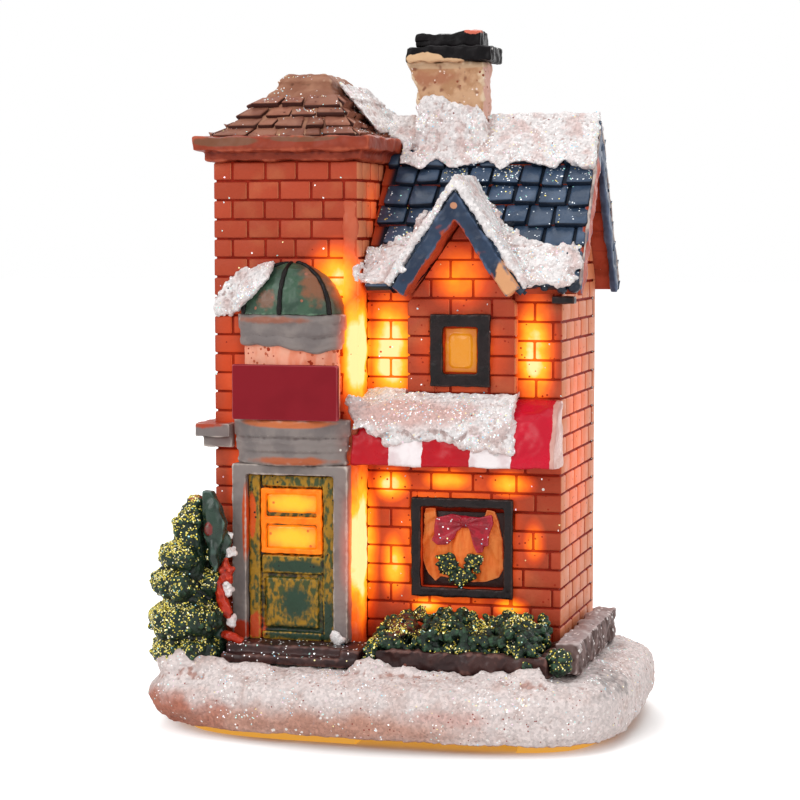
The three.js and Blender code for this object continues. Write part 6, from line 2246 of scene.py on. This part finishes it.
    def _tree(self) -> None:
        """Models the tree as small lumps piled in tiers that step in towards the tip."""
        low, high = node_box("tree")
        rng = random.Random(self.seed)
        axis = Vector((low.x + 5.6, low.y + 4.6, 0.0))
        form = Form()
        form.ball(axis + UP * 16.0, (4.2, 4.0, 6.5))
        form.ball(axis + UP * 26.0 + RIGHT * 0.5, (2.6, 2.6, 6.5))
        for level, reach, lump, lean in self.tiers:
            ring = reach - lump
            number = max(3, round(2 * math.pi * ring / (lump * 1.05)))
            start = rng.uniform(0, 1)
            for i in range(number):
                turn = 2 * math.pi * (i + start + rng.uniform(-0.15, 0.15)) / number
                across, out = math.cos(turn) * ring + lean, math.sin(turn) * ring * 0.9
                spot = Vector((across, out, level + rng.gauss(0, 0.25)))
                if spot.x > self.leaf_side and spot.y < 0.4 and level > 20:
                    continue
                form.ball(axis + spot, (lump, lump, lump * 1.15))
                for _ in range(self.sprigs):
                    form.ball(axis + spot + any_way(rng) * lump, rng.uniform(0.36, 0.62), 1)
        for level, radius, lean in self.tip:
            spot = axis + RIGHT * lean + UP * level
            form.ball(spot, radius)
            for _ in range(self.sprigs):
                form.ball(spot + any_way(rng) * radius, rng.uniform(0.25, 0.45), 1)
        form.cast(0.24, 1, (0.7, 0.22, Swell.PEBBLE), (0.4, 0.08))
        form.clamp(low - BACK, high)
        self.tree = finish_piece("tree_cast", form, Finish.FOLIAGE, ["tree"])

    def _shrub(self) -> None:
        """Models the low shrub as a row of lumps, thicker at its two ends."""
        rng = random.Random(self.seed + 1)
        form = Form()
        left, right, front, back, foot = self.bed
        for _ in range(self.shrub_lumps):
            share = rng.random()
            depth = rng.random()
            end = max(0.0, 1 - share / 0.16, (share - 0.86) / 0.14)
            y = back + (front - back) * depth * (1 + 0.12 * end)
            tall = 3.2 + 1.9 * (1 - depth) + 0.5 * math.sin(share * 17.0) - 1.7 * max(0.0, 1 - share / 0.2)
            z = foot - 1.6 * end * depth + rng.random() * tall
            form.ball((left + share * (right - left), y, z), rng.uniform(0.6, 1.0), 1)
        form.cast(0.22, 1, (0.7, 0.3, Swell.PEBBLE), (0.35, 0.08))
        self.shrub = finish_piece("shrub_cast", form, Finish.FOLIAGE, ["planter_shrub"])


@dataclass(frozen=True)
class Drift:
    """Loose snow over a CAD drift.

    Its outline is x and z on an upright plane, or on the roof's front slope where the plane is None.
    """

    node: str
    outline: tuple[Pair, ...]
    plane: float | None = None
    grain: float = 0.5


# Where two drifts end: a point of the cut and the way to what goes
TRIMS = {
    "snow_dome": ((-19.2, 0.0, 64.7), (0.674, 0.0, -0.738)),
    "snow_tower": ((-9.9, 0.0, 94.0), (-0.96, -0.26, -0.79)),
}


@dataclass
class SnowCover:
    """Snow on the ground, the roofs, the dome and the awning: thick paint full of grit.

    A heap is its middle and its half sizes.
    """

    seed: int = 41
    drifts: tuple[Drift, ...] = (
        Drift("snow_ridge", (
            (-3.6, 87.5), (-1.9, 86.5), (0.3, 85.5), (2.8, 85.1), (5.2, 84.3), (7.6, 83.8), (9.4, 84.2),
            (10.8, 85.0), (12.0, 85.7), (14.3, 85.4), (16.5, 86.0), (18.7, 86.7), (20.4, 85.6),
            (22.5, 84.6), (24.4, 83.6), (26.3, 83.2), (27.5, 82.9), (27.7, 89.3), (13.0, 89.4),
            (12.0, 90.4), (9.4, 91.6), (8.6, 92.3), (6.8, 92.5), (5.0, 93.0), (3.6, 93.8), (1.2, 94.1),
            (-0.3, 93.6), (-1.0, 92.4), (-1.4, 90.0), (-4.0, 89.4))),
        Drift("snow_dormer", (
            (3.2, 77.0), (2.1, 74.9), (1.4, 73.4), (-0.4, 72.6), (-2.2, 71.5), (-3.9, 70.5), (-5.5, 69.3),
            (-6.4, 67.6), (-5.8, 66.4), (-3.0, 66.0), (-1.9, 66.4), (1.3, 67.6), (1.4, 70.8), (2.5, 73.4))),
        Drift("snow_dormer", (
            (9.0, 80.0), (11.5, 78.8), (13.6, 77.0), (15.4, 74.9), (17.7, 73.1), (20.1, 72.0), (23.1, 71.3),
            (27.0, 71.8), (27.6, 69.1), (27.4, 66.9), (26.1, 65.9), (24.7, 65.3), (22.7, 66.1),
            (20.9, 66.1), (19.5, 65.4), (18.2, 66.8), (16.3, 69.1), (14.1, 72.3), (11.7, 75.5), (9.9, 77.4))),
        Drift("snow_tower", (
            (-11.4, 95.6), (-9.1, 94.9), (-6.8, 93.6), (-5.0, 92.2), (-3.0, 91.0), (-0.7, 89.8),
            (1.1, 88.6), (-1.5, 88.2), (-3.0, 88.4), (-5.0, 88.7), (-6.5, 90.2), (-7.6, 91.1),
            (-9.1, 92.2), (-11.4, 93.7)), -8.0),
        Drift("snow_awning", (
            (-6.2, 48.8), (-5.4, 45.4), (-3.7, 44.4), (-1.7, 43.2), (-0.7, 42.7), (4.3, 43.2), (5.1, 43.6),
            (7.3, 43.4), (9.3, 42.9), (11.1, 42.1), (12.3, 41.8), (18.2, 41.6), (18.2, 46.4),
            (17.7, 47.6), (12.5, 49.0), (6.6, 49.8), (3.6, 50.0), (-2.5, 49.6), (-4.8, 49.0)), -12.5, 0.85),
        Drift("snow_dome", (
            (-22.8, 67.2), (-24.4, 65.4), (-25.6, 63.2), (-25.4, 61.4), (-23.6, 61.3), (-21.6, 63.2),
            (-19.6, 65.0), (-18.8, 67.0), (-20.6, 68.4)), -16.0),
    )
    heaps: tuple[tuple[Triple, Triple], ...] = (
        ((-29.4, -21.6, 10.2), (3.4, 2.6, 2.9)), ((-31.2, -19.5, 9.8), (2.6, 3.0, 2.2)),
        ((-25.0, -22.0, 9.8), (3.0, 2.2, 1.8)), ((-19.0, -21.6, 9.6), (5.0, 1.8, 1.3)),
        ((-0.6, -21.2, 10.2), (3.6, 1.5, 1.9)), ((4.6, -21.0, 9.8), (3.4, 1.4, 1.5)),
        ((22.6, -21.2, 10.0), (3.0, 1.5, 2.2)), ((17.5, -21.0, 9.8), (3.6, 1.4, 1.4)),
        ((10.0, -21.0, 9.7), (6.0, 1.4, 1.2)),
    )

    def build(self, roof: MainRoof) -> None:
        """Casts the ground and every drift.

        Args:
            roof: The main roof, whose front slope holds some drifts.
        """
        under = Skin(bpy.data.objects[name] for name in (
            "roof_slates", "dormer_slates", "dormer_boards", "tower_tiles", "tower_roof_cast",
            "awning_cast", "chimney_stack_cast", "tower_cornice_cast", "tower_bricks", "main_bricks",
            "dome_cast", "main_roof",
        ))
        rng = random.Random(self.seed)
        self.pieces = {}
        for node in dict.fromkeys(drift.node for drift in self.drifts):
            form = Form.of_nodes(node)
            for drift in self.drifts:
                if drift.node == node:
                    self._strew(form, drift, roof, under, rng)
            if node in TRIMS:
                form.cut(*TRIMS[node])
            form.cast(0.26, 1, (2.4, 0.3), (0.8, 0.3, Swell.PEBBLE), (0.4, 0.12))
            self.pieces[node] = finish_piece(f"{node}_cast", form, Finish.SNOW, [node])
        self._ground(rng)

    def _strew(self, form: Form, drift: Drift, roof: MainRoof, under: Skin, rng: random.Random) -> None:
        """Strews grains over a drift's outline, each on what the camera sees there.

        Args:
            form: The form that they are added to.
            drift: The drift.
            roof: The main roof.
            under: The surfaces that hold the grains.
            rng: Source of their places.
        """
        xs, zs = zip(*drift.outline)
        area = (max(xs) - min(xs)) * (max(zs) - min(zs))
        for _ in range(round(area / drift.grain**2 / 0.5)):
            x, z = rng.uniform(min(xs), max(xs)), rng.uniform(min(zs), max(zs))
            if not self._inside(drift.outline, x, z):
                continue
            y = drift.plane if drift.plane is not None else roof.ridge_y - roof.half_width_at(z)
            spot = under.seen(Vector((x, y, z)))
            if spot is not None:
                form.ball(spot, drift.grain * rng.uniform(0.6, 1.25), 1)

    @staticmethod
    def _inside(outline: Sequence[Pair], x: float, z: float) -> bool:
        """Tells whether a point lies inside an outline.

        Args:
            outline: The outline's points.
            x: How far right the point is.
            z: How high it is.

        Returns:
            Whether it lies inside.
        """
        inside = False
        for (x0, z0), (x1, z1) in zip(outline, (*outline[1:], outline[0])):
            if (z0 > z) != (z1 > z) and x < x0 + (z - z0) * (x1 - x0) / (z1 - z0):
                inside = not inside
        return inside

    def _ground(self, rng: random.Random) -> None:
        """Casts the ground with its full front left corner and the heaps against the stonework.

        Args:
            rng: Source of its lumps.
        """
        low, high = node_box("base_casting")
        form = Form.of_nodes("base_casting")
        form.ball((low.x + 8.8, low.y + 8.2, 5.6), (8.6, 8.0, 4.4), 3)
        for place, size in self.heaps:
            form.ball(place, size)
            for _ in range(14):
                way = any_way(rng)
                way.z = abs(way.z)
                reach = Vector(w * s * 0.9 for w, s in zip(way, size))
                form.ball(Vector(place) + reach, rng.uniform(0.4, 0.75), 1)
        form.cast(0.4, 3, (4.0, 0.4), (1.1, 0.34, Swell.PEBBLE), (0.6, 0.16))
        inset = Vector((0.05, 0.05, 0.0))
        form.clamp(low + inset, high - inset + UP * 4)
        self.ground = finish_piece("snowy_ground", form, Finish.GROUND, ["base_casting"])
        clump = Form()
        for _ in range(30):
            place = (-7.3 + rng.gauss(0, 0.35), -15.7, 13.9 + rng.gauss(0, 0.4))
            clump.ball(place, rng.uniform(0.35, 0.65), 1)
        clump.cast(0.18, 1, (0.5, 0.12))
        self.pieces["door"] = finish_piece("snow_clump", clump, Finish.SNOW)


@dataclass
class Works:
    """What lies inside and underneath: plate, battery, switch, lamp and wires."""

    def build(self) -> None:
        """Dresses the CAD pieces, whose shapes stay."""
        dress(Finish.FROSTED, "bottom_plate", "battery_door")
        dress(Finish.BLACK_PLASTIC, "battery_tray", "switch_body", "switch_slider", "led_post")
        dress(
            Finish.NICKEL, "plate_screw_left", "plate_screw_right", "battery_contact",
            "coin_cell_1", "coin_cell_2", "coin_cell_3", "battery_spring",
        )
        dress(Finish.LENS, "led_bulb")
        dress(Finish.RED_WIRE, "lead_supply", "lead_switched")
        dress(Finish.BLACK_WIRE, "lead_return")


@dataclass
class Studio:
    """A pale floor, soft lights and the camera at the photograph's angle.

    A lamp is its name, place, size and power. Past shade_half the floor glows white.
    """

    camera_place: Triple = (85.37, -318.96, 73.0)
    azimuth: float = 15.3
    dip: float = 4.33
    lens: float = 98.1
    sensor: float = 36.0
    floor_size: float = 6000.0
    shade_half: Pair = (36.5, 28.0)
    lamps: tuple[tuple[str, Triple, float, float], ...] = (
        ("key", (-350, -520, 420), 420, 2.1), ("fill", (520, -420, 260), 520, 1.3),
        ("top", (0, 60, 640), 520, 1.4), ("rear", (60, 560, 320), 520, 1.3),
    )

    def build(self) -> None:
        """Sets up the camera, the lights, the world and the floor."""
        scene = bpy.context.scene
        scene.view_settings.view_transform = "Standard"
        data = bpy.data.cameras.new("camera")
        data.lens, data.sensor_width = self.lens, self.sensor
        data.clip_start, data.clip_end = 0.01, 20.0
        camera = bpy.data.objects.new("camera", data)
        camera.location = Vector(self.camera_place) * MM
        camera.rotation_euler = (math.radians(90 - self.dip), 0, math.radians(self.azimuth))
        scene.collection.objects.link(camera)
        scene.camera = camera
        for lamp in self.lamps:
            self._lamp(*lamp)
        self._world()
        self._floor()

    @staticmethod
    def _lamp(name: str, place: Triple, size: float, power: float) -> None:
        """Hangs one soft square lamp that faces the house.

        Args:
            name: Its name.
            place: Where it hangs.
            size: How wide it is.
            power: Its power in watts.
        """
        data = bpy.data.lights.new(name, "AREA")
        data.size, data.energy = size * MM, power
        lamp = bpy.data.objects.new(name, data)
        lamp.location = Vector(place) * MM
        aim = Vector((0, 0, 50)) * MM - lamp.location
        lamp.rotation_euler = aim.to_track_quat("-Z", "Y").to_euler()
        bpy.context.scene.collection.objects.link(lamp)

    @staticmethod
    def _seen(tree: bpy.types.NodeTree) -> Socket:
        """Tells the rays that reach the picture from others.

        Args:
            tree: The node tree that asks.

        Returns:
            1 for rays from the camera and for rays that a gloss or a clear piece shows.
        """
        camera = add_node(tree, "LightPath", output="Is Camera Ray")
        rays = camera.node.outputs
        both = add_node(tree, "Math", (camera, rays["Is Glossy Ray"]), operation="ADD")
        return add_node(tree, "Math", (both, rays["Is Transmission Ray"]), operation="ADD", use_clamp=True)

    def _world(self) -> None:
        """Makes an even pale world that shows as white."""
        world = bpy.data.worlds.new("studio")
        bpy.context.scene.world = world
        world.use_nodes = True
        tree = world.node_tree
        strength = add_node(tree, "MapRange", {"Value": self._seen(tree), "To Min": 0.42, "To Max": 1.0})
        feed(tree.nodes["Background"], {"Color": (1, 1, 1, 1), "Strength": strength})

    def _floor(self) -> None:
        """Makes the pale floor, which shows white but keeps the house's shadow."""
        bm = bmesh.new()
        bmesh.ops.create_grid(bm, x_segments=1, y_segments=1, size=self.floor_size / 2 * MM)
        mesh = bpy.data.meshes.new("floor")
        bm.to_mesh(mesh)
        bm.free()
        material = bpy.data.materials.new("pale_floor")
        material.use_nodes = True
        tree = material.node_tree
        shader = tree.nodes["Principled BSDF"]
        feed(shader, {"Base Color": (0.8, 0.8, 0.8, 1), "Roughness": 0.9, "Specular IOR Level": 0.1})
        place = add_node(tree, "TexCoord", output="Object")
        half = (*(size * MM for size in self.shade_half), 1.0)
        sized = add_node(tree, "VectorMath", (place, half), operation="DIVIDE")
        away = add_node(tree, "VectorMath", (sized,), "Value", operation="LENGTH")
        clear = add_node(tree, "MapRange", (away, 0.9, 1.25, 0.0, 0.7), **SMOOTH)
        glow = add_node(tree, "Math", (self._seen(tree), clear), operation="MULTIPLY")
        white = add_node(tree, "Emission", ((1, 1, 1, 1), glow))
        mixed = add_node(tree, "AddShader", (shader.outputs["BSDF"], white))
        feed(tree.nodes["Material Output"], {"Surface": mixed})
        mesh.materials.append(material)
        floor = bpy.data.objects.new("floor", mesh)
        bpy.context.scene.collection.objects.link(floor)


def scatter_glitter(
    roof: MainRoof, tower_roof: TowerRoof, planting: Planting, snow: SnowCover, shop: ShopFront,
    entrance: Entrance,
) -> None:
    """Sprinkles gold glitter on the greenery and pale glitter on the snow, the roofs and the step.

    Args:
        roof: The main roof.
        tower_roof: The tower's roof.
        planting: The plants.
        snow: The snow.
        shop: The shop front.
        entrance: The door and its step.
    """
    left_up = Vector((-0.5, -0.5, 0.7)).normalized()
    front_up = Vector((0.1, -0.6, 0.8)).normalized()
    silver, gold = Finish.SILVER_GLITTER, Finish.GOLD_GLITTER

    def clustered(place: Vector) -> float:
        """Thickens and thins the glitter in clouds a few millimetres wide."""
        return max(0.08, 0.5 + 1.3 * noise.noise(place / 3.0)) ** 2

    def spread(place: Vector) -> float:
        """Thickens and thins the glitter only a little."""
        return max(0.2, 0.55 + 0.7 * noise.noise(place / 2.2))

    sprinkle("glitter_tree", [planting.tree], 3400, 0.13, gold, left_up, 0.0, 1, spread)
    sprinkle("glitter_shrub", [planting.shrub], 1900, 0.14, gold, front_up, 0.1, 2, clustered)
    sprinkle("glitter_bush", [planting.bush], 60, 0.13, gold, front_up, 0.1, 11)
    sprinkle("glitter_garland", [shop.garland], 90, 0.15, gold, -BACK, 0.2, 3)
    sprinkle("glitter_bow", [shop.bow], 16, 0.14, silver, -BACK, 0.3, 4)
    drifts = list(snow.pieces.values())
    sprinkle("glitter_snow", drifts, 2600, 0.12, silver, front_up, 0.1, 5, clustered)
    sprinkle("glitter_ground", [snow.ground], 2400, 0.12, silver, front_up, 0.0, 6, clustered)
    sprinkle("glitter_slates", [roof.slates, roof.dormer_slates], 1500, 0.13, Finish.ROOF_GLITTER,
             front_up, 0.4, 7, clustered)
    sprinkle("glitter_tiles", [tower_roof.tiles, tower_roof.body], 800, 0.12, silver, front_up,
             0.2, 8, clustered)
    sprinkle("glitter_step", [entrance.step], 130, 0.14, silver, front_up, 0.2, 9)
    walls = [bpy.data.objects[name] for name in ("tower_bricks", "main_bricks", "bay_bricks")]
    sprinkle("glitter_bricks", walls, 240, 0.15, silver, -BACK, 0.5, 10)


def main() -> None:
    """Builds the studio and the house, piece by piece."""
    logging.basicConfig(level=logging.INFO, format="%(name)s: %(message)s")
    Studio().build()
    roof = MainRoof()
    roof.build()
    TowerBlock().build(roof)
    MainBlock().build(roof)
    tower_roof = TowerRoof()
    tower_roof.build()
    Chimney().build()
    EntranceBay().build()
    entrance = Entrance()
    entrance.build()
    shop = ShopFront()
    shop.build()
    planting = Planting()
    planting.build()
    snow = SnowCover()
    snow.build(roof)
    scatter_glitter(roof, tower_roof, planting, snow, shop, entrance)
    Works().build()


if __name__ == "__main__":
    main()
